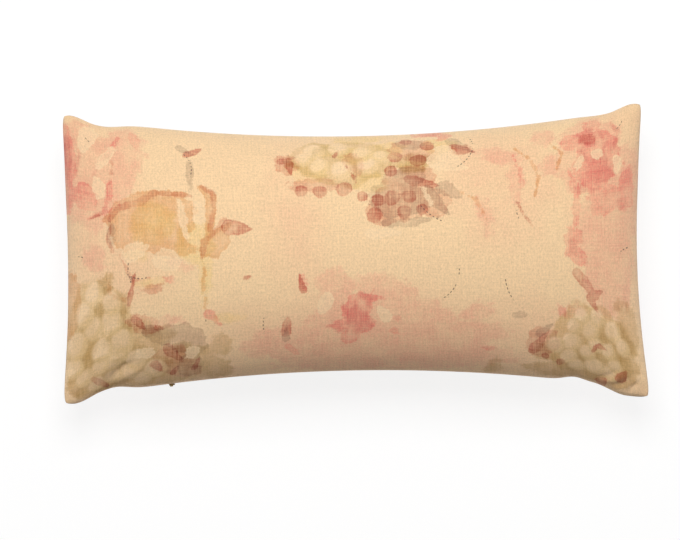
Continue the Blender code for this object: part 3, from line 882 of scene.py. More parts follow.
# %% Label
LABEL_ROWS = 14
LABEL_COLUMNS = 11
LABEL_HALF_WIDTH = 0.011
LABEL_REACH = 0.019
LABEL_LIFT = 0.0008
LABEL_CLOTH = 0.00022


def label_grid():
    """Points of the label, read from the front casing at its right end."""
    half_long = FINISHED_LENGTH / 2 - CASING_MARGIN
    x = np.linspace(half_long - LABEL_REACH, half_long - 0.0004, LABEL_ROWS)
    y = np.linspace(-LABEL_HALF_WIDTH, LABEL_HALF_WIDTH, LABEL_COLUMNS)
    x, y = np.meshgrid(x, y, indexing="ij")
    points = read_grid(casing_front_grid, x, y, CASING_MARGIN)
    return points + grid_normals(points, 1) * LABEL_LIFT, np.stack([x, y], axis=-1)


label_points, label_places = label_grid()
label = grid_mesh("care_label", [label_points], label_places, [1])
apply_modifier(label, "SOLIDIFY", thickness=LABEL_CLOTH, offset=1.0)
label.data.shade_smooth()
stand_in(label, "pillow", "insert_care_label")

# %% [markdown]
# ## The zip
# The zip lies along the seam's arc, so every part of it is placed by an angle about the arc's
# centre, an inset from the seam line and a height from the seam's plane. The tapes start beside
# the teeth and lie against the panels' allowances, whose place is read from the panels.


# %% Zip tapes
CHAIN_INSET = 0.0045
COIL_OUTER = 0.0023
TAPE_THICKNESS = 0.0005
TAPE_DEPTH = ROLL_INSET + 0.0002 + TAPE_THICKNESS / 2
TAPE_DISTANCES = (0.0066, 0.0084, 0.0102, 0.0118)
STATIONS = 181


def zip_angle(x):
    return math.asin(x / EDGE_RADIUS)


def on_zip(angle, inset, height):
    """A point placed from the seam's arc."""
    out = EDGE_RADIUS + inset
    return ZIP_CENTRE + Vector((out * math.sin(angle), out * math.cos(angle), height))


def allowance_line(side, distance, depth, stations):
    """Points along the zip side, under a panel, at the zip's stations."""
    shaped, _ = panel_points(front_cloth if side > 0 else back_cloth, side)
    line = inside_point(shaped, grid_normals(shaped, side), distance, depth)[on_zip_side]
    line = line[np.argsort(line[:, 0])]
    return np.array([
        (x, np.interp(x, line[:, 0], line[:, 1]), np.interp(x, line[:, 0], line[:, 2]))
        for x in stations
    ])


zip_end = zip_angle(ZIP_HALF_LENGTH)
station_angles = np.linspace(-zip_end, zip_end, STATIONS)
station_x = [on_zip(angle, CHAIN_INSET, 0).x for angle in station_angles]
tapes = []
for side, face in SIDES:
    rows = [
        np.array([on_zip(angle, CHAIN_INSET + inset, side * height) for angle in station_angles])
        for inset, height in ((0.0, 0.0021), (0.00005, 0.0030), (0.0003, 0.0038))
    ]
    rows += [allowance_line(side, distance, TAPE_DEPTH, station_x) for distance in TAPE_DISTANCES]
    grid = np.stack(rows, axis=1)
    across = np.concatenate([[0], np.cumsum(np.linalg.norm(np.diff(grid[STATIONS // 2], axis=0), axis=1))])
    places = np.stack(np.meshgrid(EDGE_RADIUS * station_angles, across, indexing="ij"), axis=-1)
    tape = grid_mesh(f"tape_{face}", [grid], places, [side])
    apply_modifier(tape, "SOLIDIFY", thickness=TAPE_THICKNESS, offset=0.0)
    tape.data.shade_smooth()
    stand_in(tape, "pillow", f"zip_tape_{face}")
    tapes.append(tape)
    print(tape.name, "width", round(across[-1] * 1000, 1), "mm")

# %% Zip stitching and teeth
TOOTH_PITCH = 0.0013
TOOTH_WIRE = 0.00027
LOOP = (  # along, in, height
    (-0.00012, -0.00048, 0.00225), (-0.00012, -0.00050, 0.00120), (-0.00006, -0.00042, 0.00082),
    (0.00000, -0.00010, 0.00066), (0.00006, 0.00022, 0.00070), (0.00012, 0.00048, 0.00090),
    (0.00022, 0.00050, 0.00140), (0.00034, 0.00048, 0.00225),
)
STITCH_DISTANCE = 0.0092
STITCH_DEPTH = TAPE_DEPTH + TAPE_THICKNESS / 2 + 0.5 * THREAD_RADIUS
ARC_POINTS = 400
threads, teeth = [], []
for side, face in SIDES:
    line = allowance_line(side, STITCH_DISTANCE, STITCH_DEPTH, station_x)
    outer = allowance_line(side, STITCH_DISTANCE, TAPE_DEPTH, station_x)
    places, ahead = spaced(line, STITCH_PITCH)
    base, _ = spaced(outer, STITCH_PITCH)
    up = places - base[: len(places)]
    one = stitch(0.0023, THREAD_RADIUS, 0.0002)
    row = copies(f"zip_stitches_{face}", one, places, ahead, up)
    stand_in(row, "pillow", f"zip_stitching_{face}")
    threads.append(row)
    shift = 0.25 * TOOTH_PITCH * side / EDGE_RADIUS
    angles = np.linspace(-zip_end, zip_end, ARC_POINTS) + shift
    arc = np.array([on_zip(angle, CHAIN_INSET, 0) for angle in angles])
    inside = np.abs(arc[:, 0]) < ZIP_HALF_LENGTH
    places, ahead = spaced(arc[inside], TOOTH_PITCH)
    loop = wire("tooth", [(x, y * side, z) for x, y, z in LOOP], TOOTH_WIRE)
    up = np.tile([0, 0, float(side)], (len(places), 1))
    row = copies(f"teeth_{face}", loop, places, ahead, up)
    stand_in(row, "pillow", f"zip_coil_{face}")
    teeth.append(row)

# %% [markdown]
# ## Stops, slider and pull
# The hard pieces are modelled from primitives where they will stand at the origin, in the
# slider's own directions: X along the zip, Y in from the seam line, Z up. Then each is moved to
# its angle on the seam's arc and its place is applied.


# %% Hard pieces: helpers
def block(name, low, high, rounding=0.0, segments=3):
    """A box between two corners with rounded edges."""
    bpy.ops.mesh.primitive_cube_add(size=1)
    item = bpy.context.object
    item.name = name
    item.scale = [b - a for a, b in zip(low, high)]
    item.location = [(a + b) / 2 for a, b in zip(low, high)]
    bpy.ops.object.transform_apply(location=True, rotation=False, scale=True)
    if rounding:
        apply_modifier(item, "BEVEL", width=rounding, segments=segments, limit_method="NONE")
    return item


def cylinder(radius, depth, place, turn):
    """A round bar or hole, its place applied."""
    bpy.ops.mesh.primitive_cylinder_add(
        vertices=32, radius=radius, depth=depth, location=place, rotation=turn
    )
    item = bpy.context.object
    bpy.ops.object.transform_apply(location=True, rotation=True, scale=True)
    return item


def combine(item, tool, operation="UNION"):
    """Adds a tool to a piece, or cuts it out with DIFFERENCE, and uses the tool up."""
    apply_modifier(item, "BOOLEAN", operation=operation, object=tool, solver="EXACT")
    bpy.data.objects.remove(tool)


def round_corners(item, axis, radius, chosen=lambda place: True, segments=5):
    """Rounds the edges that run along an axis, in edit mode."""
    select_only(item)
    bpy.ops.object.mode_set(mode="EDIT")
    bpy.ops.mesh.select_mode(type="EDGE")
    bpy.ops.mesh.select_all(action="DESELECT")
    bm = bmesh.from_edit_mesh(item.data)
    for edge in bm.edges:
        run = edge.verts[1].co - edge.verts[0].co
        middle = (edge.verts[1].co + edge.verts[0].co) / 2
        edge.select_set(abs(run.normalized()[axis]) > 0.99 and chosen(middle))
    bmesh.update_edit_mesh(item.data)
    bpy.ops.mesh.bevel(offset=radius, segments=segments)
    bpy.ops.object.mode_set(mode="OBJECT")


def put_on_zip(item, angle, inset=0.0):
    """Moves a piece from the origin to its angle on the zip, and applies its place."""
    select_only(item)
    place = Matrix.Translation(on_zip(angle, inset, 0))
    item.matrix_world = place @ Matrix.Rotation(-angle, 4, "Z")
    bpy.ops.object.transform_apply(location=True, rotation=True, scale=True)
    item.data.shade_smooth()
    item.data.set_sharp_from_angle(angle=math.radians(40))


# %% Stops
STOP_LENGTH = 0.0025
STOP_HALF = 0.00095
STOP_INNER = 0.0007
RIB_STEP = 0.00015
RIB_MARGIN = 0.0003
stops = []
stop_x = ZIP_HALF_LENGTH + 0.0003 + STOP_LENGTH / 2
for node, x, low, high in (
    ("zip_top_stop_front", -stop_x, STOP_INNER, COIL_OUTER),
    ("zip_top_stop_back", -stop_x, -COIL_OUTER, -STOP_INNER),
    ("zip_bottom_stop", stop_x, -COIL_OUTER, COIL_OUTER),
):
    half = STOP_LENGTH / 2
    stop = block("stop", (-half, -STOP_HALF, low), (half, STOP_HALF, high), 0.00035)
    rib_low = (-half * 0.35, -STOP_HALF - RIB_STEP, low + RIB_MARGIN)
    rib_high = (half * 0.35, STOP_HALF + RIB_STEP, high - RIB_MARGIN)
    combine(stop, block("rib", rib_low, rib_high, 0.00012))
    stop.name = node.replace("zip_", "moulded_")
    put_on_zip(stop, zip_angle(x), CHAIN_INSET)
    stand_in(stop, "pillow", node)
    stops.append(stop)

# %% Slider body
SLIDER_X = 0.0065 - ZIP_HALF_LENGTH
SLIDER_HALF = 0.004
PLATE_HALF = 0.0032
OUTER_PLATE = (0.0028, 0.0034)
INNER_PLATE = (0.0056, 0.0062)
BAR_OUT = 0.00145
NECK_HALF = 0.00028


def plate(low, high):
    """A slider plate: broad shoulders at its leading end (-X), a narrower tail."""
    item = block("plate", (-SLIDER_HALF, low, -PLATE_HALF), (SLIDER_HALF, high, PLATE_HALF))
    round_corners(item, 1, 0.0013, lambda place: place.x < 0)
    round_corners(item, 1, 0.0007, lambda place: place.x > 0.003)
    apply_modifier(item, "BEVEL", width=0.00014, segments=2, limit_method="ANGLE")
    return item


slider_parts = [plate(*OUTER_PLATE), plate(*INNER_PLATE)]
for side in (-1, 1):
    low, high = sorted((side * 0.0026, side * 0.0031))
    for inner, outer in ((0.0033, 0.00395), (0.00505, 0.0057)):
        rail_low = (0.0012 - SLIDER_HALF, inner, low)
        rail_high = (SLIDER_HALF - 0.0005, outer, high)
        slider_parts.append(block("rail", rail_low, rail_high, 0.0001, 2))
neck_low = (-SLIDER_HALF + 0.0001, 0.0033, -NECK_HALF)
neck_high = (0.0026 - SLIDER_HALF, 0.0057, NECK_HALF)
neck = block("neck", neck_low, neck_high)
round_corners(neck, 1, 0.00024)
slider_parts.append(neck)
arch = ((-0.0021, 0.0031), (-0.0021, -0.0008), (-0.0019, -0.00125), (-0.0015, -BAR_OUT))
arch += tuple((-x, y) for x, y in reversed(arch))
slider_parts.append(wire("arch", [(x, y, 0) for x, y in arch], 0.0005, resolution=3))
slider = slider_parts[0]
for part in slider_parts[1:]:
    combine(slider, part)
slider.name = "slider_body"
slider_angle = zip_angle(SLIDER_X)
put_on_zip(slider, slider_angle)
stand_in(slider, "slider", "zip_slider")
print("slider", len(slider.data.polygons), "faces")

# %% Pull
EYE_INNER, EYE_OUTER = 0.0009, 0.0016
PULL_HALF = 0.00145
TAB_HALF = 0.0025
PULL_LENGTH = 0.021
TAB_THICKNESS_HALF = 0.0006
PANEL_DEPTH = 0.00015

pull = cylinder(EYE_OUTER, 2 * PULL_HALF, (0, 0, 0), (0, math.pi / 2, 0))
apply_modifier(pull, "BEVEL", width=0.0002, segments=2, limit_method="ANGLE")
shank = block("shank", (-0.0013, -0.0005, -0.0048), (0.0013, 0.0005, -0.0010), 0.0002)
tab_low = (-TAB_HALF, -TAB_THICKNESS_HALF, -PULL_LENGTH)
tab_high = (TAB_HALF, TAB_THICKNESS_HALF, -0.0032)
tab = block("tab", tab_low, tab_high)
round_corners(tab, 1, 0.0022, lambda place: place.z < -0.01, 8)
round_corners(tab, 1, 0.0011, lambda place: place.z > -0.01, 4)
apply_modifier(tab, "BEVEL", width=0.00022, segments=3, limit_method="ANGLE")
for part in (shank, tab):
    combine(pull, part)
combine(pull, cylinder(EYE_INNER, 0.006, (0, 0, 0), (0, math.pi / 2, 0)), "DIFFERENCE")
hole_place = (0, 0, 0.0034 - PULL_LENGTH)
combine(pull, cylinder(0.0011, 0.004, hole_place, (math.pi / 2, 0, 0)), "DIFFERENCE")
for side in (-1, 1):
    middle = side * TAB_THICKNESS_HALF
    panel_low = (-0.0015, middle - PANEL_DEPTH, -0.0152)
    panel_high = (0.0015, middle + PANEL_DEPTH, -0.0052)
    recess = block("panel", panel_low, panel_high)
    round_corners(recess, 1, 0.0009)
    combine(pull, recess, "DIFFERENCE")
pull.name = "pull_tab"
put_on_zip(pull, slider_angle, -BAR_OUT)
stand_in(pull, "pull", "zip_pull")
print("pull", len(pull.data.polygons), "faces")

# %% [markdown]
# ## The print: shapes first
# The cloth carries a faded print of roses, leaves and bunches of grapes. Each dye gets a field: a
# number at every point of the cloth that says how far inside that dye's shapes the point lies,
# in metres, and is negative outside. A distance blends smoothly between the points of the mesh,
# so the material can cut it to an edge much finer than the mesh itself, and roughen that edge
# with the threads. All the shapes come from a few brushes, placed one by one on the flat cloth.


# %% Brushes
PATCH_WAVE = 0.10


def patch(x, y, at, size, turn, seed):
    """A rounded patch with an uneven outline."""
    rng = np.random.default_rng(seed)
    c, s = math.cos(math.radians(turn)), math.sin(math.radians(turn))
    along = ((x - at[0]) * c + (y - at[1]) * s) / size[0]
    over = ((y - at[1]) * c - (x - at[0]) * s) / size[1]
    angle = np.arctan2(over, along)
    reach = np.ones_like(angle)
    for lobes in (2, 3, 5, 7, 11):
        reach += PATCH_WAVE * rng.uniform(0.3, 1.0) * np.sin(lobes * angle + rng.uniform(0, 6.28)) / 2
    return (1 - np.hypot(along, over) / reach) * min(size)


def leaf(x, y, start, end, width, teeth=0):
    """A pointed leaf between two points, with teeth along its edges if it has any."""
    dx, dy = end[0] - start[0], end[1] - start[1]
    length = math.hypot(dx, dy)
    run = ((x - start[0]) * dx + (y - start[1]) * dy) / length**2
    off = np.abs((y - start[1]) * dx - (x - start[0]) * dy) / length
    inside = np.clip(run, 0, 1)
    edge = width / 2 * np.sin(math.pi * inside**0.5) ** 0.8
    if teeth:
        edge = edge * (0.78 + 0.22 * 2 * np.abs((inside * teeth) % 1 - 0.5))
    past = np.maximum(-run, run - 1) * length
    return np.where(past > 0, -np.hypot(past, off), edge - off)


def stroke(x, y, points, width):
    """A brush stroke through a few points, thin at both ends."""
    best = np.full(x.shape, -1.0)
    parts = len(points) - 1
    for number in range(parts):
        (x0, y0), (x1, y1) = points[number], points[number + 1]
        dx, dy = x1 - x0, y1 - y0
        run = np.clip(((x - x0) * dx + (y - y0) * dy) / (dx * dx + dy * dy), 0, 1)
        far = np.hypot(x - x0 - run * dx, y - y0 - run * dy)
        taper = np.sin(math.pi * (0.08 + 0.84 * (number + run) / parts)) ** 0.5
        best = np.maximum(best, width / 2 * taper - far)
    return best


def bunch(at, size, count, radius, seed):
    """Places and radii of the fruit in a bunch: tried at random, kept where there is room."""
    rng = np.random.default_rng(seed)
    kept = []
    for _ in range(count * 40):
        place = rng.uniform(-1, 1, 2)
        if np.hypot(*place) > 1 or len(kept) == count:
            continue
        fruit = (at[0] + place[0] * size[0], at[1] + place[1] * size[1], radius * rng.uniform(0.8, 1.15))
        clear = all(math.hypot(fruit[0] - a, fruit[1] - b) > 0.86 * (fruit[2] + r) for a, b, r in kept)
        if clear:
            kept.append(fruit)
    return kept


# %% What each dye paints
PATCHES = {  # dye: (centre, half sizes, turn)
    # The soft pink wash below is partly the print's tint and partly painted shade: its broad patches over
    # the lower half, along the lower edge and at both ends darken the cloth where it turns away from the
    # head light.
    "pink_wash_and_shade": (
        ((0.020, -0.095), (0.190, 0.055), 0), ((-0.275, 0.070), (0.055, 0.085), 0),
        ((0.275, 0.040), (0.050, 0.110), 0), ((-0.060, 0.030), (0.022, 0.070), 4),
        ((0.150, 0.070), (0.060, 0.060), -10), ((0.000, -0.140), (0.300, 0.030), 0),
        ((-0.230, -0.010), (0.040, 0.030), 0), ((0.180, -0.100), (0.060, 0.050), 0),
    ),
    "mauve": (
        ((0.048, 0.052), (0.030, 0.022), 5), ((0.056, 0.078), (0.026, 0.016), 0),
        ((0.030, 0.040), (0.018, 0.014), 0), ((0.060, 0.118), (0.024, 0.018), -20),
        ((0.078, 0.050), (0.018, 0.016), 0), ((-0.038, 0.072), (0.026, 0.008), 0),
        ((-0.066, 0.098), (0.012, 0.014), 20), ((-0.185, -0.110), (0.022, 0.020), -30),
        ((-0.216, -0.064), (0.018, 0.010), -20), ((-0.170, -0.128), (0.016, 0.012), 0),
        ((0.188, -0.094), (0.016, 0.020), -35), ((0.240, 0.112), (0.010, 0.008), 0),
        ((0.000, 0.100), (0.010, 0.016), 20), ((0.106, 0.114), (0.012, 0.008), -20),
        ((-0.206, -0.030), (0.012, 0.005), 10),
    ),
    "blush": (
        ((-0.280, 0.085), (0.030, 0.060), 0), ((-0.232, 0.118), (0.022, 0.026), 30),
        ((-0.245, 0.085), (0.026, 0.040), -20), ((-0.270, -0.002), (0.014, 0.012), 0),
        ((-0.275, 0.045), (0.026, 0.022), 10), ((0.000, -0.072), (0.052, 0.026), 10),
        ((0.055, -0.105), (0.085, 0.026), -8), ((-0.060, -0.095), (0.055, 0.020), 5),
        ((0.115, -0.090), (0.020, 0.018), 0), ((0.030, -0.038), (0.030, 0.016), -15),
        ((-0.020, -0.035), (0.018, 0.022), 0), ((0.148, 0.098), (0.022, 0.010), -20),
        ((0.164, 0.068), (0.008, 0.018), 10), ((0.203, 0.084), (0.012, 0.013), -35),
        ((0.192, 0.120), (0.012, 0.012), 0), ((0.282, 0.050), (0.026, 0.044), 0),
        ((0.270, -0.010), (0.024, 0.026), 0), ((0.222, -0.058), (0.014, 0.006), 0),
        ((-0.175, -0.008), (0.012, 0.004), -15),
        ((0.132, 0.035), (0.006, 0.018), 15), ((-0.190, -0.064), (0.016, 0.006), 12),
        ((0.265, 0.000), (0.034, 0.060), 0), ((0.120, -0.062), (0.018, 0.008), 20),
        ((0.242, 0.098), (0.036, 0.046), -10), ((0.060, -0.070), (0.040, 0.022), 10),
        ((-0.020, -0.110), (0.060, 0.020), 0), ((-0.286, 0.105), (0.022, 0.036), 0),
        ((0.080, -0.115), (0.075, 0.022), 0), ((0.100, -0.085), (0.050, 0.014), 0),
        ((0.020, -0.132), (0.100, 0.016), 0),
    ),
    "cream": (
        ((-0.276, 0.122), (0.010, 0.022), -20), ((-0.254, 0.100), (0.006, 0.018), -35),
        ((-0.226, 0.004), (0.013, 0.009), 20), ((-0.156, 0.040), (0.006, 0.013), 8),
        ((-0.172, 0.034), (0.004, 0.020), 12), ((-0.190, -0.004), (0.016, 0.010), -10),
        ((0.252, 0.092), (0.006, 0.007), 30), ((0.092, 0.098), (0.015, 0.012), -20),
        ((0.074, 0.056), (0.003, 0.014), 32), ((-0.262, 0.064), (0.007, 0.012), 15),
        ((0.028, -0.064), (0.006, 0.010), 20), ((-0.030, -0.050), (0.007, 0.012), -20),
        ((0.232, 0.084), (0.004, 0.008), -15), ((0.276, 0.078), (0.005, 0.010), 10),
        ((-0.214, -0.096), (0.010, 0.007), 15), ((-0.164, -0.100), (0.007, 0.009), -20),
    ),
    "yellow": (
        ((-0.045, 0.092), (0.020, 0.018), 0), ((-0.030, 0.120), (0.014, 0.010), 0),
        ((0.002, 0.112), (0.016, 0.014), 0), ((0.018, 0.074), (0.016, 0.012), 0),
        ((0.030, 0.118), (0.022, 0.014), 20), ((0.085, 0.122), (0.018, 0.013), 0),
        ((0.058, 0.092), (0.014, 0.008), 0), ((-0.205, 0.030), (0.024, 0.020), 0),
        ((-0.160, 0.012), (0.020, 0.020), 0), ((-0.222, 0.001), (0.010, 0.005), 0),
        ((-0.150, -0.018), (0.006, 0.026), 0), ((-0.208, -0.024), (0.014, 0.004), 5),
        ((-0.128, -0.062), (0.014, 0.005), 0), ((0.005, 0.142), (0.024, 0.008), 0),
    ),
    "ochre": (
        ((-0.206, 0.034), (0.047, 0.028), 4), ((-0.200, 0.046), (0.034, 0.015), 3),
        ((-0.228, 0.028), (0.024, 0.019), 25),
        ((-0.196, 0.012), (0.036, 0.012), -8), ((-0.232, 0.016), (0.018, 0.010), 10),
        ((-0.178, 0.036), (0.010, 0.022), 0), ((-0.140, 0.010), (0.016, 0.012), 30),
        ((-0.300, -0.040), (0.012, 0.030), 0),
    ),
    "olive": (
        ((-0.222, -0.082), (0.036, 0.022), 0), ((-0.188, -0.118), (0.052, 0.030), 0),
        ((-0.262, -0.124), (0.038, 0.028), 0), ((-0.282, -0.078), (0.016, 0.030), -15),
        ((-0.250, -0.050), (0.022, 0.014), 40), ((-0.134, -0.094), (0.010, 0.014), 10),
        ((-0.140, -0.132), (0.016, 0.020), 0), ((-0.258, -0.026), (0.010, 0.008), 60),
        ((0.212, -0.108), (0.034, 0.018), -10), ((0.222, -0.132), (0.048, 0.018), 0),
        ((0.262, -0.116), (0.030, 0.030), 0), ((0.286, -0.072), (0.012, 0.026), 0),
        ((0.242, -0.084), (0.026, 0.022), 20), ((0.137, -0.136), (0.008, 0.014), -20),
        ((0.278, -0.052), (0.005, 0.008), 0), ((0.060, 0.098), (0.022, 0.012), 0),
    ),
    "taupe": (
        ((0.048, 0.052), (0.030, 0.018), 5), ((0.050, 0.078), (0.022, 0.014), 0),
        ((0.055, 0.128), (0.014, 0.010), -20), ((-0.172, -0.084), (0.026, 0.017), -25),
        ((-0.190, -0.078), (0.014, 0.012), 30), ((-0.166, -0.120), (0.014, 0.018), 0),
        ((-0.250, 0.020), (0.005, 0.012), 0), ((-0.164, 0.086), (0.004, 0.020), 0),
        ((0.030, 0.062), (0.016, 0.010), 0), ((-0.210, -0.072), (0.007, 0.008), 30),
    ),
    "rose": (
        ((0.250, 0.100), (0.022, 0.026), -25), ((0.262, 0.088), (0.018, 0.022), 10),
        ((0.226, 0.112), (0.013, 0.009), -20), ((0.244, 0.132), (0.010, 0.010), -60),
        ((0.248, 0.072), (0.024, 0.016), -10), ((0.268, 0.046), (0.028, 0.011), -14),
        ((0.288, 0.052), (0.009, 0.022), 0), ((0.226, 0.008), (0.010, 0.014), 0),
        ((0.232, -0.008), (0.010, 0.007), -35), ((0.001, -0.064), (0.014, 0.024), 0),
        ((0.013, -0.046), (0.014, 0.005), -8), ((-0.012, -0.076), (0.014, 0.007), 15),
        ((0.010, -0.074), (0.009, 0.011), 0), ((-0.301, 0.088), (0.012, 0.028), 0),
        ((-0.304, 0.058), (0.010, 0.022), 0), ((-0.222, 0.124), (0.006, 0.012), 10),
        ((-0.279, 0.054), (0.014, 0.014), 0), ((0.076, 0.148), (0.016, 0.006), 0),
        ((0.090, 0.140), (0.006, 0.008), -35), ((0.212, -0.058), (0.005, 0.005), 0),
        ((-0.188, -0.021), (0.004, 0.003), 0), ((0.042, -0.069), (0.004, 0.003), 0),
        ((0.037, -0.083), (0.005, 0.004), 0), ((0.132, -0.106), (0.006, 0.004), 0),
        ((-0.302, 0.118), (0.006, 0.014), 0),
    ),
    "deep_rose": (
        ((0.239, 0.108), (0.010, 0.006), -25), ((0.254, 0.080), (0.012, 0.010), 40),
        ((0.262, 0.069), (0.008, 0.007), 0), ((0.234, 0.056), (0.006, 0.006), 0),
        ((0.243, 0.122), (0.005, 0.007), 0), ((0.281, 0.038), (0.008, 0.004), 0),
        ((0.002, -0.070), (0.009, 0.018), 0), ((0.012, -0.045), (0.010, 0.003), -8),
        ((-0.302, 0.088), (0.007, 0.020), 0), ((-0.257, 0.043), (0.004, 0.006), -30),
        ((0.226, 0.004), (0.005, 0.008), 0), ((0.076, 0.148), (0.012, 0.004), 0),
    ),
}
LEAVES = {  # dye: (start, end, width, teeth)
    "cream": (
        ((0.074, 0.104), (0.114, 0.086), 0.026, 5), ((0.084, 0.122), (0.100, 0.094), 0.018, 4),
        ((-0.236, -0.004), (-0.206, 0.012), 0.014, 5), ((0.010, 0.018), (0.050, 0.020), 0.012, 4),
    ),
    "taupe": (
        ((0.066, 0.066), (0.096, 0.036), 0.016, 0), ((0.084, 0.070), (0.110, 0.052), 0.018, 5),
        ((0.040, 0.028), (0.085, 0.034), 0.010, 4), ((0.092, 0.134), (0.119, 0.108), 0.012, 0),
        ((0.158, -0.064), (0.177, -0.062), 0.008, 0), ((-0.070, -0.095), (-0.068, -0.072), 0.007, 0),
        ((-0.208, -0.082), (-0.190, -0.066), 0.012, 0), ((-0.178, 0.118), (-0.160, 0.108), 0.008, 0),
        ((0.026, 0.030), (0.064, 0.026), 0.009, 3), ((0.182, -0.086), (0.202, -0.070), 0.008, 0),
    ),
    "rust": (
        ((-0.170, 0.104), (-0.150, 0.118), 0.009, 0), ((-0.132, 0.027), (-0.100, 0.025), 0.016, 0),
        ((-0.076, 0.100), (-0.058, 0.108), 0.010, 3), ((-0.065, 0.104), (-0.061, 0.082), 0.009, 0),
        ((0.050, 0.078), (0.088, 0.066), 0.013, 4), ((0.096, 0.122), (0.120, 0.108), 0.008, 0),
        ((-0.228, -0.056), (-0.212, -0.070), 0.011, 3), ((-0.193, -0.088), (-0.173, -0.114), 0.013, 0),
        ((-0.206, -0.108), (-0.195, -0.126), 0.011, 0), ((-0.204, -0.067), (-0.190, -0.072), 0.006, 0),
        ((-0.070, -0.088), (-0.067, -0.062), 0.011, 0), ((0.174, -0.108), (0.197, -0.078), 0.013, 4),
        ((0.226, -0.018), (0.256, -0.048), 0.011, 0), ((0.240, -0.046), (0.260, -0.036), 0.010, 0),
        ((0.244, -0.046), (0.252, -0.058), 0.007, 0), ((0.268, -0.132), (0.280, -0.112), 0.012, 0),
        ((0.246, -0.150), (0.256, -0.134), 0.012, 0), ((0.242, -0.103), (0.247, -0.092), 0.005, 0),
        ((0.248, -0.092), (0.260, -0.097), 0.006, 0), ((-0.164, -0.128), (-0.156, -0.108), 0.007, 0),
        ((-0.112, -0.023), (-0.103, -0.020), 0.005, 0), ((-0.050, -0.040), (-0.056, -0.018), 0.007, 0),
        ((-0.232, -0.046), (-0.224, -0.012), 0.006, 5), ((-0.186, -0.133), (-0.178, -0.118), 0.007, 0),
        ((-0.020, 0.108), (-0.015, 0.120), 0.005, 0),
    ),
    "rose": (
        ((-0.150, -0.054), (-0.134, -0.070), 0.009, 0), ((-0.068, -0.098), (-0.053, -0.122), 0.008, 0),
        ((-0.054, -0.020), (-0.047, -0.040), 0.008, 0), ((-0.010, -0.100), (0.018, -0.036), 0.020, 6),
        ((0.212, 0.104), (0.244, 0.124), 0.020, 5), ((0.246, 0.036), (0.290, 0.042), 0.016, 0),
    ),
    "ochre": (
        ((-0.252, 0.030), (-0.210, 0.058), 0.022, 6), ((-0.216, 0.052), (-0.164, 0.060), 0.018, 7),
    ),
}
STROKES = {  # dye: (points, width)
    "rose": (
        (((-0.249, 0.074), (-0.252, 0.058), (-0.258, 0.042)), 0.007),
        (((-0.276, 0.034), (-0.262, 0.039), (-0.250, 0.044)), 0.004),
        (((0.222, 0.074), (0.230, 0.050), (0.228, 0.020)), 0.009),
        (((-0.262, 0.094), (-0.246, 0.112), (-0.240, 0.128)), 0.006),
        (((0.160, 0.098), (0.168, 0.080), (0.170, 0.060)), 0.004),
    ),
    "mauve": (
        (((-0.252, 0.034), (-0.240, 0.045), (-0.218, 0.050), (-0.200, 0.060), (-0.164, 0.058)), 0.007),
        (((-0.152, 0.068), (-0.141, 0.060), (-0.140, 0.045), (-0.145, 0.024)), 0.006),
        (((-0.128, 0.036), (-0.140, 0.022), (-0.150, 0.012), (-0.153, -0.002)), 0.006),
        (((-0.243, 0.006), (-0.233, -0.010), (-0.228, -0.022), (-0.208, -0.019)), 0.003),
        (((-0.250, 0.030), (-0.254, 0.016), (-0.248, 0.004)), 0.005),
        (((-0.260, 0.110), (-0.246, 0.092), (-0.250, 0.070)), 0.003),
    ),
    "deep_rose": (
        (((0.226, 0.122), (0.236, 0.110), (0.234, 0.092), (0.246, 0.080)), 0.005),
        (((0.252, 0.120), (0.262, 0.106), (0.258, 0.088)), 0.004),
        (((0.240, 0.070), (0.256, 0.062), (0.272, 0.066)), 0.004),
        (((0.268, 0.130), (0.276, 0.112), (0.272, 0.094)), 0.004),
        (((-0.292, 0.118), (-0.286, 0.096), (-0.290, 0.074)), 0.004),
        (((-0.262, 0.096), (-0.268, 0.078), (-0.262, 0.060)), 0.003),
        (((-0.014, -0.052), (-0.006, -0.066), (-0.010, -0.084)), 0.004),
        (((0.012, -0.050), (0.010, -0.066), (0.016, -0.082)), 0.004),
    ),
    "ochre": (
        (((0.160, 0.110), (0.178, 0.092), (0.188, 0.070), (0.184, 0.052)), 0.003),
        (((0.198, 0.112), (0.212, 0.096), (0.208, 0.078)), 0.003),
        (((0.106, 0.060), (0.124, 0.050), (0.134, 0.030)), 0.003),
        (((-0.153, 0.066), (-0.142, 0.056), (-0.144, 0.036), (-0.146, 0.018)), 0.011),
        (((-0.152, 0.000), (-0.144, 0.016), (-0.124, 0.030)), 0.008),
        (((-0.151, -0.004), (-0.152, -0.030), (-0.149, -0.052)), 0.004),
        (((-0.256, -0.020), (-0.252, -0.034), (-0.236, -0.040)), 0.005),
    ),
    "rust": (
        (((0.166, 0.046), (0.172, 0.034), (0.182, 0.022)), 0.003),
        (((-0.271, -0.122), (-0.262, -0.134), (-0.254, -0.146)), 0.008),
        (((-0.008, 0.096), (-0.002, 0.086), (0.002, 0.074)), 0.003),
        (((-0.258, 0.040), (-0.266, 0.037), (-0.274, 0.034)), 0.002),
    ),
    "olive": (
        (((-0.292, -0.050), (-0.286, -0.070), (-0.268, -0.078)), 0.006),
        (((-0.272, -0.050), (-0.262, -0.042), (-0.252, -0.056)), 0.005),
        (((-0.040, 0.112), (-0.034, 0.126), (-0.020, 0.124)), 0.004),
    ),
}
BUNCHES = (  # centre, half sizes, count, radius, seed
    ((-0.268, -0.078), (0.030, 0.048), 14, 0.0120, 11),
    ((-0.240, -0.118), (0.042, 0.024), 9, 0.0110, 12),
    ((0.242, -0.096), (0.040, 0.034), 17, 0.0098, 13),
    ((-0.012, 0.104), (0.040, 0.024), 13, 0.0102, 14),
)
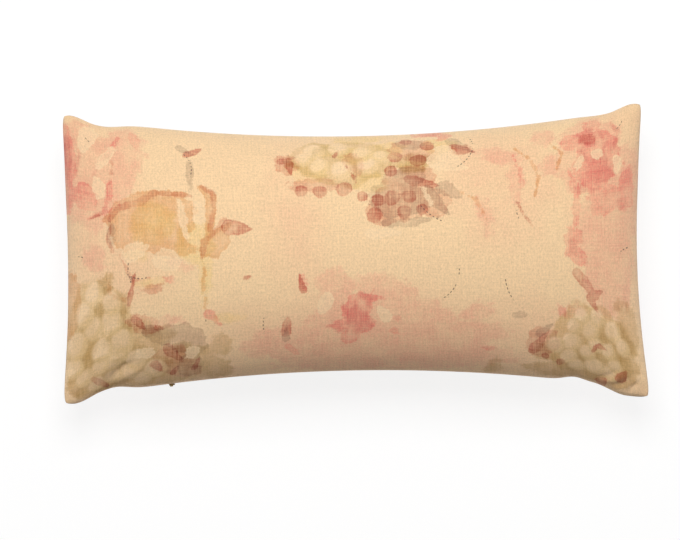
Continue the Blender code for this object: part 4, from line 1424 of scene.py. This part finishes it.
RUST_FRUIT = (  # (x, y, radius)
    (-0.052, 0.065, 0.0060), (-0.034, 0.064, 0.0070), (-0.010, 0.067, 0.0080),
    (0.021, 0.038, 0.0080), (0.050, 0.040, 0.0075), (0.055, 0.057, 0.0070),
    (0.038, 0.056, 0.0080), (0.024, 0.054, 0.0065), (0.008, 0.058, 0.0055),
    (0.041, 0.107, 0.0075), (0.064, 0.101, 0.0085), (0.073, 0.123, 0.0075),
    (0.037, 0.088, 0.0070), (0.068, 0.042, 0.0060), (0.052, 0.134, 0.0060),
    (0.191, -0.111, 0.0045), (0.206, -0.120, 0.0050), (0.109, 0.112, 0.0070),
)
DYES = (
    "pink_wash_and_shade", "blush", "yellow", "ochre", "olive", "moss", "taupe", "mauve",
    "fruit", "shade", "rose", "deep_rose", "rust", "cream",
)


# %% Fields of the print
FIELD_LIMIT = 0.03
BUNCH_GROUND = 0.010


def print_fields(x, y):
    """For each dye, how far inside its shapes each point of the cloth lies."""
    fields = {dye: np.full(x.shape, -FIELD_LIMIT) for dye in DYES}

    def add(dye, inside):
        fields[dye] = np.maximum(fields[dye], inside)

    for dye, shapes in PATCHES.items():
        for number, (at, half, turn) in enumerate(shapes):
            add(dye, patch(x, y, at, half, turn, seed=number))
    for dye, shapes in LEAVES.items():
        for start, end, width, teeth in shapes:
            add(dye, leaf(x, y, start, end, width, teeth))
    for dye, shapes in STROKES.items():
        for points, width in shapes:
            add(dye, stroke(x, y, points, width))
    for a, b, radius in RUST_FRUIT:
        add("rust", radius - np.hypot(x - a, y - b))
    for at, half, count, radius, seed in BUNCHES:
        ground = (half[0] + BUNCH_GROUND, half[1] + BUNCH_GROUND)
        add("moss", patch(x, y, at, ground, 0, seed=seed))
        for a, b, r in bunch(at, half, count, radius, seed):
            ball = r - np.hypot(x - a, (y - b) * 0.9)
            lit = 1.02 * r - np.hypot(x - a + 0.35 * r, y - b - 0.35 * r)
            add("fruit", ball)
            add("shade", np.minimum(ball, -lit))
    fields["moss"] = np.minimum(fields["moss"], -fields["fruit"])
    return {dye: np.clip(field, -FIELD_LIMIT, FIELD_LIMIT) for dye, field in fields.items()}


INK_ARCS = (  # centre, radius, first and last angle in degrees
    ((0.071, -0.017), 0.034, -92, 2),
    ((0.190, -0.024), 0.038, 182, 238),
    ((0.236, 0.060), 0.075, 197, 214),
    ((-0.292, -0.030), 0.031, 70, 96),
    ((0.300, -0.040), 0.042, 100, 118),
    ((-0.262, 0.134), 0.020, 196, 242),
    ((0.262, 0.134), 0.020, -62, -14),
    ((-0.200, -0.010), 0.032, 168, 206),
    ((-0.218, 0.012), 0.032, 240, 286),
    ((-0.120, -0.062), 0.030, 164, 200),
    ((0.108, 0.078), 0.052, 214, 248),
    ((0.085, 0.118), 0.034, -60, 30),
    ((-0.058, -0.072), 0.034, 150, 196),
    ((-0.190, 0.088), 0.028, -20, 46),
)
INK_FAR = 0.02


def ink_fields(x, y):
    """Signed distance to the nearest fine arc, and the distance along it."""
    across = np.full(x.shape, INK_FAR)
    along = np.zeros(x.shape)
    for (a, b), radius, first, last in INK_ARCS:
        middle, spread = math.radians((first + last) / 2), math.radians((last - first) / 2)
        angle = np.angle(np.exp(1j * (np.arctan2(y - b, x - a) - middle)))
        off = np.hypot(x - a, y - b) - radius
        past = np.maximum(np.abs(angle) - spread, 0) * radius
        nearer = np.hypot(off, past) < np.abs(across)
        across = np.where(nearer & (past == 0), off, np.where(nearer, INK_FAR, across))
        along = np.where(nearer, angle * radius, along)
    return across, along


def paint(panel, turned):
    """Stores the print's fields on a panel. The back is cut the other way round."""
    mesh = panel.data
    places = np.zeros((len(mesh.vertices), 2))
    uv = np.empty(len(mesh.loops) * 2, np.float32)
    mesh.uv_layers["cloth"].data.foreach_get("uv", uv)
    places[corner_vertices(mesh)] = uv.reshape(-1, 2)
    x, y = places[:, 0] * turned, places[:, 1] * turned
    fields = print_fields(x, y)
    fields["ink_across"], fields["ink_along"] = ink_fields(x, y)
    for name, values in fields.items():
        attribute = mesh.attributes.new(name, "FLOAT", "POINT")
        attribute.data.foreach_set("value", values.astype(np.float32))


paint(front_panel, 1)
paint(back_panel, -1)
print("print fields", [a.name for a in front_panel.data.attributes if a.data_type == "FLOAT"])

# %% [markdown]
# ## The print: dye on threads
# The material has three shared parts, each a node group. One makes the weave: warp and weft that
# pass over and under each other, with the thick and thin places of linen yarn, and painted shade
# that darkens the colour where the threads dip. One makes the wear: the wandering of an edge,
# fading in patches, and streaks of bare warp. One turns a field into dye. Then each dye multiplies
# the cloth's colour in turn, as real dye does, and the fruit is left pale, as if the dye had been
# held back there. The soft pink wash is partly a dye and partly painted shade, laid over the lower
# half, the lower edge and both ends, where the cloth turns away from the head light.


# %% Node helpers
def new_group(name, inputs, outputs):
    """A shader node group with named float, colour or vector sockets."""
    group = bpy.data.node_groups.new(name, "ShaderNodeTree")
    kinds = {"f": "NodeSocketFloat", "c": "NodeSocketColor", "v": "NodeSocketVector"}
    for label, kind in inputs:
        group.interface.new_socket(label, in_out="INPUT", socket_type=kinds[kind])
    for label, kind in outputs:
        group.interface.new_socket(label, in_out="OUTPUT", socket_type=kinds[kind])
    return group, group.nodes.new("NodeGroupInput"), group.nodes.new("NodeGroupOutput")


def put(tree, socket, value):
    """Links a socket to another, or sets its value."""
    if isinstance(value, bpy.types.NodeSocket):
        tree.links.new(value, socket)
    else:
        socket.default_value = value


def math_node(tree, operation, *values, clamp=False):
    """The result of a sum on sockets and numbers."""
    node = tree.nodes.new("ShaderNodeMath")
    node.operation = operation
    node.use_clamp = clamp
    for socket, value in zip(node.inputs, values):
        put(tree, socket, value)
    return node.outputs[0]


def ramp(tree, value, low, high, to_low=0.0, to_high=1.0):
    """A smooth step of a value from one range to another."""
    node = tree.nodes.new("ShaderNodeMapRange")
    node.interpolation_type = "SMOOTHSTEP"
    labels = ("Value", "From Min", "From Max", "To Min", "To Max")
    for label, number in zip(labels, (value, low, high, to_low, to_high)):
        put(tree, node.inputs[label], number)
    return node.outputs["Result"]


def scaled(tree, vector, scale, shift=(0, 0, 0)):
    """A vector stretched and moved, for a texture drawn out one way."""
    node = tree.nodes.new("ShaderNodeMapping")
    node.inputs["Scale"].default_value = scale
    node.inputs["Location"].default_value = shift
    put(tree, node.inputs["Vector"], vector)
    return node.outputs["Vector"]


def noise(tree, vector, scale, detail, roughness):
    """A noise texture node on a vector."""
    node = tree.nodes.new("ShaderNodeTexNoise")
    node.inputs["Scale"].default_value = scale
    node.inputs["Detail"].default_value = detail
    node.inputs["Roughness"].default_value = roughness
    put(tree, node.inputs["Vector"], vector)
    return node


def mix_colour(tree, mode, factor, under, over):
    """One colour over another in a blend mode."""
    node = tree.nodes.new("ShaderNodeMix")
    node.data_type = "RGBA"
    node.blend_type = mode
    put(tree, node.inputs["Factor"], factor)
    put(tree, node.inputs["A"], under)
    put(tree, node.inputs["B"], over)
    return node.outputs["Result"]


def own_places(tree):
    """The piece's Object coordinates, in metres."""
    return tree.nodes.new("ShaderNodeTexCoord").outputs["Object"]


def cloth_places(tree):
    """The piece's places on its flat cloth, in metres."""
    node = tree.nodes.new("ShaderNodeUVMap")
    node.uv_map = "cloth"
    return node.outputs["UV"]


def surface(tree, output, colour, roughness, bump=None, **inputs):
    """A Principled surface. A bump is its height, strength and distance."""
    shader = tree.nodes.new("ShaderNodeBsdfPrincipled")
    put(tree, shader.inputs["Base Color"], colour)
    put(tree, shader.inputs["Roughness"], roughness)
    for label, value in inputs.items():
        shader.inputs[label.replace("_", " ")].default_value = value
    if bump:
        height, strength, distance = bump
        node = tree.nodes.new("ShaderNodeBump")
        node.inputs["Strength"].default_value = strength
        node.inputs["Distance"].default_value = distance
        put(tree, node.inputs["Height"], height)
        put(tree, shader.inputs["Normal"], node.outputs["Normal"])
    put(tree, output.inputs["Surface"], shader.outputs[0])


# %% Weave
def weave_group():
    """Plain weave with slubs. Vector is in metres on the cloth, Pitch is from thread to thread. The tone
    it gives is the yarn's own plus painted shade where threads dip under.
    """
    group, ins, outs = new_group(
        "plain_weave",
        (("Vector", "v"), ("Pitch", "f"), ("Slub", "f")),
        (("Threads", "f"), ("Height", "f")),
    )
    parts = group.nodes.new("ShaderNodeSeparateXYZ")
    put(group, parts.inputs[0], ins.outputs["Vector"])
    rate = math_node(group, "DIVIDE", math.pi, ins.outputs["Pitch"])
    heights, shades = [], []
    for label, other, stretch in (("X", "Y", (900, 38, 1)), ("Y", "X", (38, 900, 1))):
        yarn = noise(group, scaled(group, ins.outputs["Vector"], stretch), 1.0, 2.0, 0.6)
        uneven = math_node(group, "MULTIPLY", yarn.outputs["Fac"], ins.outputs["Slub"])
        across = math_node(group, "MULTIPLY", parts.outputs[label], rate)
        along = math_node(group, "MULTIPLY", parts.outputs[other], rate)
        body = math_node(group, "ABSOLUTE", math_node(group, "SINE", across))
        thread = math_node(group, "FLOOR", math_node(group, "DIVIDE", across, math.pi))
        turn = math_node(group, "MULTIPLY", thread, math.pi)
        if label == "Y":
            turn = math_node(group, "ADD", turn, math.pi)
        shifted = math_node(group, "ADD", along, turn)
        over = math_node(group, "MULTIPLY_ADD", math_node(group, "SINE", shifted), 0.5, 0.5)
        raised = math_node(group, "MULTIPLY", body, math_node(group, "MULTIPLY_ADD", over, 0.7, 0.3))
        heights.append(math_node(group, "ADD", raised, math_node(group, "MULTIPLY", uneven, 0.8)))
        shades.append(yarn.outputs["Fac"])
    tallest = math_node(group, "MAXIMUM", heights[0], heights[1])
    put(group, outs.inputs["Height"], tallest)
    yarns = math_node(group, "ADD", shades[0], shades[1])
    # Painted shade: the colour is lighter on raised threads and darker where they dip, on top of the
    # yarn's own tone.
    lit = math_node(group, "MULTIPLY_ADD", tallest, 0.30, math_node(group, "MULTIPLY", yarns, 0.45))
    put(group, outs.inputs["Threads"], lit)
    return group


# %% Wear
def wear_group():
    """Wander of edges (about -1 to 1), three patchy fades and streaks along the warp (0 to 1)."""
    group, ins, outs = new_group(
        "cloth_wear",
        (("Vector", "v"),),
        (("Wander", "f"), ("Fade 1", "f"), ("Fade 2", "f"), ("Fade 3", "f"), ("Streaks", "f")),
    )
    vector = ins.outputs["Vector"]
    broad = noise(group, vector, 95.0, 3.0, 0.6)
    fine = noise(group, scaled(group, vector, (1.0, 0.55, 1.0)), 900.0, 2.0, 0.6)
    wide = math_node(group, "SUBTRACT", broad.outputs["Fac"], 0.5)
    thin = math_node(group, "SUBTRACT", fine.outputs["Fac"], 0.5)
    sway = math_node(group, "MULTIPLY", wide, 3.2)
    put(group, outs.inputs["Wander"], math_node(group, "MULTIPLY_ADD", thin, 1.1, sway))
    patches = noise(group, vector, 38.0, 5.0, 0.65)
    channels = group.nodes.new("ShaderNodeSeparateColor")
    put(group, channels.inputs[0], patches.outputs["Color"])
    for number, label in enumerate(("Red", "Green", "Blue"), 1):
        put(group, outs.inputs[f"Fade {number}"], ramp(group, channels.outputs[label], 0.36, 0.66))
    warp = noise(group, scaled(group, vector, (1500, 26, 1)), 1.0, 3.0, 0.7)
    weft = noise(group, scaled(group, vector, (30, 1300, 1), (7, 3, 0)), 1.0, 2.0, 0.6)
    most = math_node(group, "MULTIPLY", warp.outputs["Fac"], 0.65)
    both = math_node(group, "MULTIPLY_ADD", weft.outputs["Fac"], 0.35, most)
    put(group, outs.inputs["Streaks"], ramp(group, both, 0.38, 0.62))
    return group


# %% Dye
def dye_group():
    """How much dye the cloth took: a field cut to a rough edge, then faded and streaked."""
    group, ins, outs = new_group(
        "dye",
        (("Field", "f"), ("Edge", "f"), ("Reach", "f"), ("Wander", "f"), ("Fade", "f"),
         ("Wear", "f"), ("Streaks", "f"), ("Strength", "f")),
        (("Mask", "f"),),
    )
    took = ins.outputs
    moved = math_node(group, "MULTIPLY_ADD", took["Wander"], took["Reach"], took["Field"])
    below = math_node(group, "MULTIPLY", took["Edge"], -1.0)
    cut = ramp(group, moved, below, took["Edge"])
    rim = ramp(group, moved, 0.0022, 0.0, 0.0, 0.22)
    body = math_node(group, "MULTIPLY", cut, math_node(group, "ADD", rim, 0.78))
    faded = math_node(group, "MULTIPLY", took["Fade"], took["Wear"])
    kept = math_node(group, "SUBTRACT", 1.0, faded)
    rubbed = math_node(group, "MULTIPLY", took["Wear"], 0.9)
    bare = math_node(group, "MULTIPLY", took["Streaks"], rubbed)
    worn = math_node(group, "MULTIPLY", kept, math_node(group, "SUBTRACT", 1.0, bare))
    full = math_node(group, "MULTIPLY", body, worn)
    mask = math_node(group, "MULTIPLY", full, took["Strength"], clamp=True)
    put(group, outs.inputs["Mask"], mask)
    return group


# %% Printed linen
WEAVE = weave_group()
WEAR = wear_group()
DYE = dye_group()
LINEN = (0.855, 0.605, 0.350, 1)
LINEN_WARM = (0.855, 0.600, 0.350, 1)
INK = (0.14, 0.075, 0.06, 1)
LINEN_PITCH = 0.00058
PALE_FRUIT = (0.880, 0.640, 0.390, 1)
DYE_COLOURS = {  # colour that multiplies the cloth, edge, reach of the wander, wear, strength, fade
    # The soft pink wash is partly painted shade: darker and pinker over the lower half, the lower edge and
    # both ends.
    "pink_wash_and_shade": ((0.95, 0.78, 0.83, 1), 0.0200, 0.0060, 0.45, 0.65, 2),
    "blush": ((0.94, 0.69, 0.76, 1), 0.0034, 0.0060, 0.60, 1.15, 1),
    "yellow": ((0.95, 0.94, 0.68, 1), 0.0030, 0.0034, 0.50, 1.20, 2),
    "ochre": ((0.87, 0.68, 0.54, 1), 0.0010, 0.0034, 0.50, 1.55, 3),
    "olive": ((0.72, 0.65, 0.50, 1), 0.0036, 0.0048, 0.45, 1.55, 1),
    "moss": ((0.74, 0.68, 0.47, 1), 0.0024, 0.0024, 0.60, 1.20, 3),
    "taupe": ((0.68, 0.65, 0.66, 1), 0.0008, 0.0022, 0.55, 1.35, 2),
    "mauve": ((0.80, 0.54, 0.52, 1), 0.0010, 0.0034, 0.62, 1.30, 1),
    "shade": ((0.84, 0.80, 0.58, 1), 0.0034, 0.0012, 0.45, 1.00, 3),
    "rose": ((0.95, 0.56, 0.63, 1), 0.0012, 0.0038, 0.60, 1.40, 1),
    "deep_rose": ((0.84, 0.54, 0.60, 1), 0.0018, 0.0030, 0.60, 1.15, 2),
    "rust": ((0.70, 0.38, 0.37, 1), 0.0008, 0.0020, 0.60, 1.55, 3),
}


def use_group(tree, group, **values):
    """A node that uses a shared group, with its inputs linked or set."""
    node = tree.nodes.new("ShaderNodeGroup")
    node.node_tree = group
    for label, value in values.items():
        put(tree, node.inputs[label.replace("_", " ")], value)
    return node


def attribute(tree, name):
    """A field stored on the mesh."""
    node = tree.nodes.new("ShaderNodeAttribute")
    node.attribute_name = name
    return node.outputs["Fac"]


def ink_mask(tree, wear):
    """Fine broken lines: near an arc, and only where the dashes and the threads leave them."""
    away = math_node(tree, "ABSOLUTE", attribute(tree, "ink_across"))
    line = ramp(tree, away, 0.0007, 0.0002)
    beat = math_node(tree, "SINE", math_node(tree, "MULTIPLY", attribute(tree, "ink_along"), 1500.0))
    dash = ramp(tree, math_node(tree, "MULTIPLY_ADD", wear.outputs["Wander"], 0.8, beat), -0.25, 0.25)
    broken = ramp(tree, wear.outputs["Fade 2"], 0.95, 0.45)
    return math_node(tree, "MULTIPLY", math_node(tree, "MULTIPLY", line, dash), broken)


def printed_linen():
    """Linen cloth with the faded print."""
    material, tree, output = new_material("printed_linen")
    where = cloth_places(tree)
    weave = use_group(tree, WEAVE, Vector=where, Pitch=LINEN_PITCH, Slub=0.9)
    wear = use_group(tree, WEAR, Vector=where)
    mottle = noise(tree, where, 9.0, 4.0, 0.55)
    warm = ramp(tree, mottle.outputs["Fac"], 0.35, 0.65)
    colour = mix_colour(tree, "MIX", warm, LINEN, LINEN_WARM)
    # The first of these, the soft pink wash, is partly painted shade on the lower half, the lower edge and
    # both ends.
    for dye in ("pink_wash_and_shade", "blush", "yellow", "ochre", "olive", "moss", "taupe", "mauve"):
        colour = dyed(tree, colour, dye, wear)
    colour = held_back(tree, colour, "fruit", 0.0026, 0.0016, 0.70, wear)
    for dye in ("shade", "rose", "deep_rose", "rust"):
        colour = dyed(tree, colour, dye, wear)
    colour = held_back(tree, colour, "cream", 0.0009, 0.0034, 0.95, wear)
    colour = mix_colour(tree, "MIX", ink_mask(tree, wear), colour, INK)
    heather = noise(tree, scaled(tree, where, (520, 380, 1)), 1.0, 4.0, 0.75)
    # Painted shade: the weave's tone is darker where threads dip. The heather noise is the yarn's own
    # tone.
    grain_and_shade = math_node(tree, "MULTIPLY_ADD", weave.outputs["Threads"], 0.42, 0.34)
    grain_and_shade = math_node(tree, "MULTIPLY_ADD", heather.outputs["Fac"], 0.80, grain_and_shade)
    shade = tree.nodes.new("ShaderNodeCombineColor")
    for socket in shade.inputs[:3]:
        put(tree, socket, grain_and_shade)
    colour = mix_colour(tree, "MULTIPLY", 1.0, colour, shade.outputs[0])

    roughness = ramp(tree, weave.outputs["Height"], 0.2, 1.4, 0.95, 0.80)
    surface(
        tree, output, colour, roughness, (weave.outputs["Height"], 0.55, 0.00022),
        Specular_IOR_Level=0.18, Sheen_Weight=0.22, Sheen_Roughness=0.55,
        Sheen_Tint=(1.0, 0.90, 0.78, 1),
    )
    return material


def dye_mask(tree, name, wear, edge, reach, worn, strength, fade):
    """How much of a dye, or of what held the dyes back, the cloth took."""
    return use_group(
        tree, DYE, Field=attribute(tree, name), Edge=edge, Reach=reach,
        Wander=wear.outputs["Wander"], Fade=wear.outputs[f"Fade {fade}"], Wear=worn,
        Streaks=wear.outputs["Streaks"], Strength=strength,
    ).outputs["Mask"]


def dyed(tree, colour, dye, wear):
    """The colour after one more dye."""
    tint, *how = DYE_COLOURS[dye]
    return mix_colour(tree, "MULTIPLY", dye_mask(tree, dye, wear, *how), colour, tint)


def held_back(tree, colour, name, edge, reach, strength, wear):
    """The colour where something kept the dyes off the cloth: pale."""
    mask = dye_mask(tree, name, wear, edge, reach, 0.15, strength, 1)
    return mix_colour(tree, "MIX", mask, colour, PALE_FRUIT)


linen = printed_linen()
for panel in (front_panel, back_panel):
    panel.data.materials.append(linen)
print("material", linen.name, len(linen.node_tree.nodes), "nodes")

# %% [markdown]
# ## The insert's cotton and fibre
# The casing is a fine plain cotton, so it uses the same weave group with closer threads, and with it the
# weave's painted shade. The
# fibre is a soft white mass: pale, rough, and uneven at the size of its clusters, with painted shade that
# greys the hollows between them.


# %% Cotton and fibre
def woven_material(name, colour, pitch, shine, strength):
    """Plain woven cloth of one colour, mottled, with painted shade between its threads, on the piece's own
    cloth places.
    """
    material, tree, output = new_material(name)
    where = cloth_places(tree)
    weave = use_group(tree, WEAVE, Vector=where, Pitch=pitch, Slub=0.5)
    mottle = noise(tree, where, 20.0, 3.0, 0.55)
    darker = tuple(0.86 * part for part in colour[:3]) + (1,)
    tone = mix_colour(tree, "MIX", ramp(tree, mottle.outputs["Fac"], 0.3, 0.7), darker, colour)
    # Painted shade: the colour is darker where the threads dip, from the weave's tone.
    tone = mix_colour(tree, "MIX", ramp(tree, weave.outputs["Threads"], 0.2, 0.9), darker, tone)
    surface(
        tree, output, tone, 0.9, (weave.outputs["Height"], strength, 0.00012),
        Specular_IOR_Level=0.2, Sheen_Weight=shine, Sheen_Roughness=0.5,
    )
    return material


def fibre_material():
    """Loose polyester fibre: clusters, and fine strands across them, with painted shade greying the
    hollows.
    """
    material, tree, output = new_material("fibre_filling")
    where = own_places(tree)
    clusters = noise(tree, where, 70.0, 3.0, 0.6)
    strands = noise(tree, scaled(tree, where, (300, 90, 300)), 1.0, 4.0, 0.7)
    height = math_node(tree, "MULTIPLY_ADD", strands.outputs["Fac"], 0.35, clusters.outputs["Fac"])
    # Painted shade: the colour greys where the bumped fibre is low, in the hollows between clusters.
    tone = ramp(tree, height, 0.35, 0.95)
    colour = mix_colour(tree, "MIX", tone, (0.66, 0.66, 0.64, 1), (0.90, 0.90, 0.88, 1))
    surface(
        tree, output, colour, 0.95, (height, 0.8, 0.0012), Sheen_Weight=0.4, Sheen_Roughness=0.4
    )
    return material


cotton = woven_material("casing_cotton", (0.80, 0.78, 0.72, 1), 0.00030, 0.15, 0.4)
for casing in casings:
    casing.data.materials.append(cotton)
filling.data.materials.append(fibre_material())
print("insert materials", cotton.name, filling.data.materials[0].name)

# %% [markdown]
# ## Thread, tape, nylon and brass
# Thread is matt and slightly furry. The zip's tape is a closer weave than the linen. The teeth
# are dyed nylon, which lets a little light in. The slider and its pull are brass that has dulled:
# darker in patches, with fine scratches that change only how sharply it reflects.


# %% Thread and nylon
def thread_material():
    """Matt spun thread: fine slanting strands."""
    material, tree, output = new_material("sewing_thread")
    where = own_places(tree)
    strands = noise(tree, where, 2600.0, 2.0, 0.6)
    light, dark = (0.90, 0.72, 0.50, 1), (0.62, 0.44, 0.27, 1)
    colour = mix_colour(tree, "MIX", strands.outputs["Fac"], dark, light)
    surface(tree, output, colour, 0.75, Sheen_Weight=0.3)
    return material


def nylon_material():
    """Dyed nylon with a soft shine."""
    material, tree, output = new_material("zip_nylon")
    where = own_places(tree)
    tone = noise(tree, where, 350.0, 3.0, 0.5)
    light, dark = (0.80, 0.64, 0.44, 1), (0.66, 0.50, 0.32, 1)
    colour = mix_colour(tree, "MIX", tone.outputs["Fac"], dark, light)
    roughness = ramp(tree, tone.outputs["Fac"], 0.3, 0.7, 0.30, 0.50)
    surface(
        tree, output, colour, roughness, Subsurface_Weight=0.15, Subsurface_Scale=0.001
    )
    return material


def brass_material():
    """Dull brass with darker patches and fine scratches."""
    material, tree, output = new_material("zip_metal")
    where = own_places(tree)
    patches = noise(tree, where, 420.0, 5.0, 0.65)
    scratches = noise(tree, scaled(tree, where, (4200, 4200, 260)), 1.0, 2.0, 0.5)
    dull = ramp(tree, patches.outputs["Fac"], 0.40, 0.68)
    colour = mix_colour(tree, "MIX", dull, (0.74, 0.56, 0.28, 1), (0.42, 0.30, 0.16, 1))
    worn = ramp(tree, dull, 0.0, 1.0, 0.18, 0.40)
    rough = math_node(tree, "MULTIPLY_ADD", scratches.outputs["Fac"], 0.18, worn)
    surface(tree, output, colour, rough, Metallic=1.0)
    return material


thread = thread_material()
nylon = nylon_material()
brass = brass_material()
tape_cloth = woven_material("zip_tape", (0.78, 0.60, 0.40, 1), 0.00050, 0.1, 0.6)
label_cloth = woven_material("label_tape", (0.86, 0.85, 0.82, 1), 0.00022, 0.1, 0.2)
for items, material in (
    ([cover_thread, insert_thread, closing, *threads], thread),
    ([*teeth, *stops], nylon),
    ([slider, pull], brass),
    (tapes, tape_cloth),
    ([label], label_cloth),
):
    for item in items:
        item.data.materials.clear()
        item.data.materials.append(material)
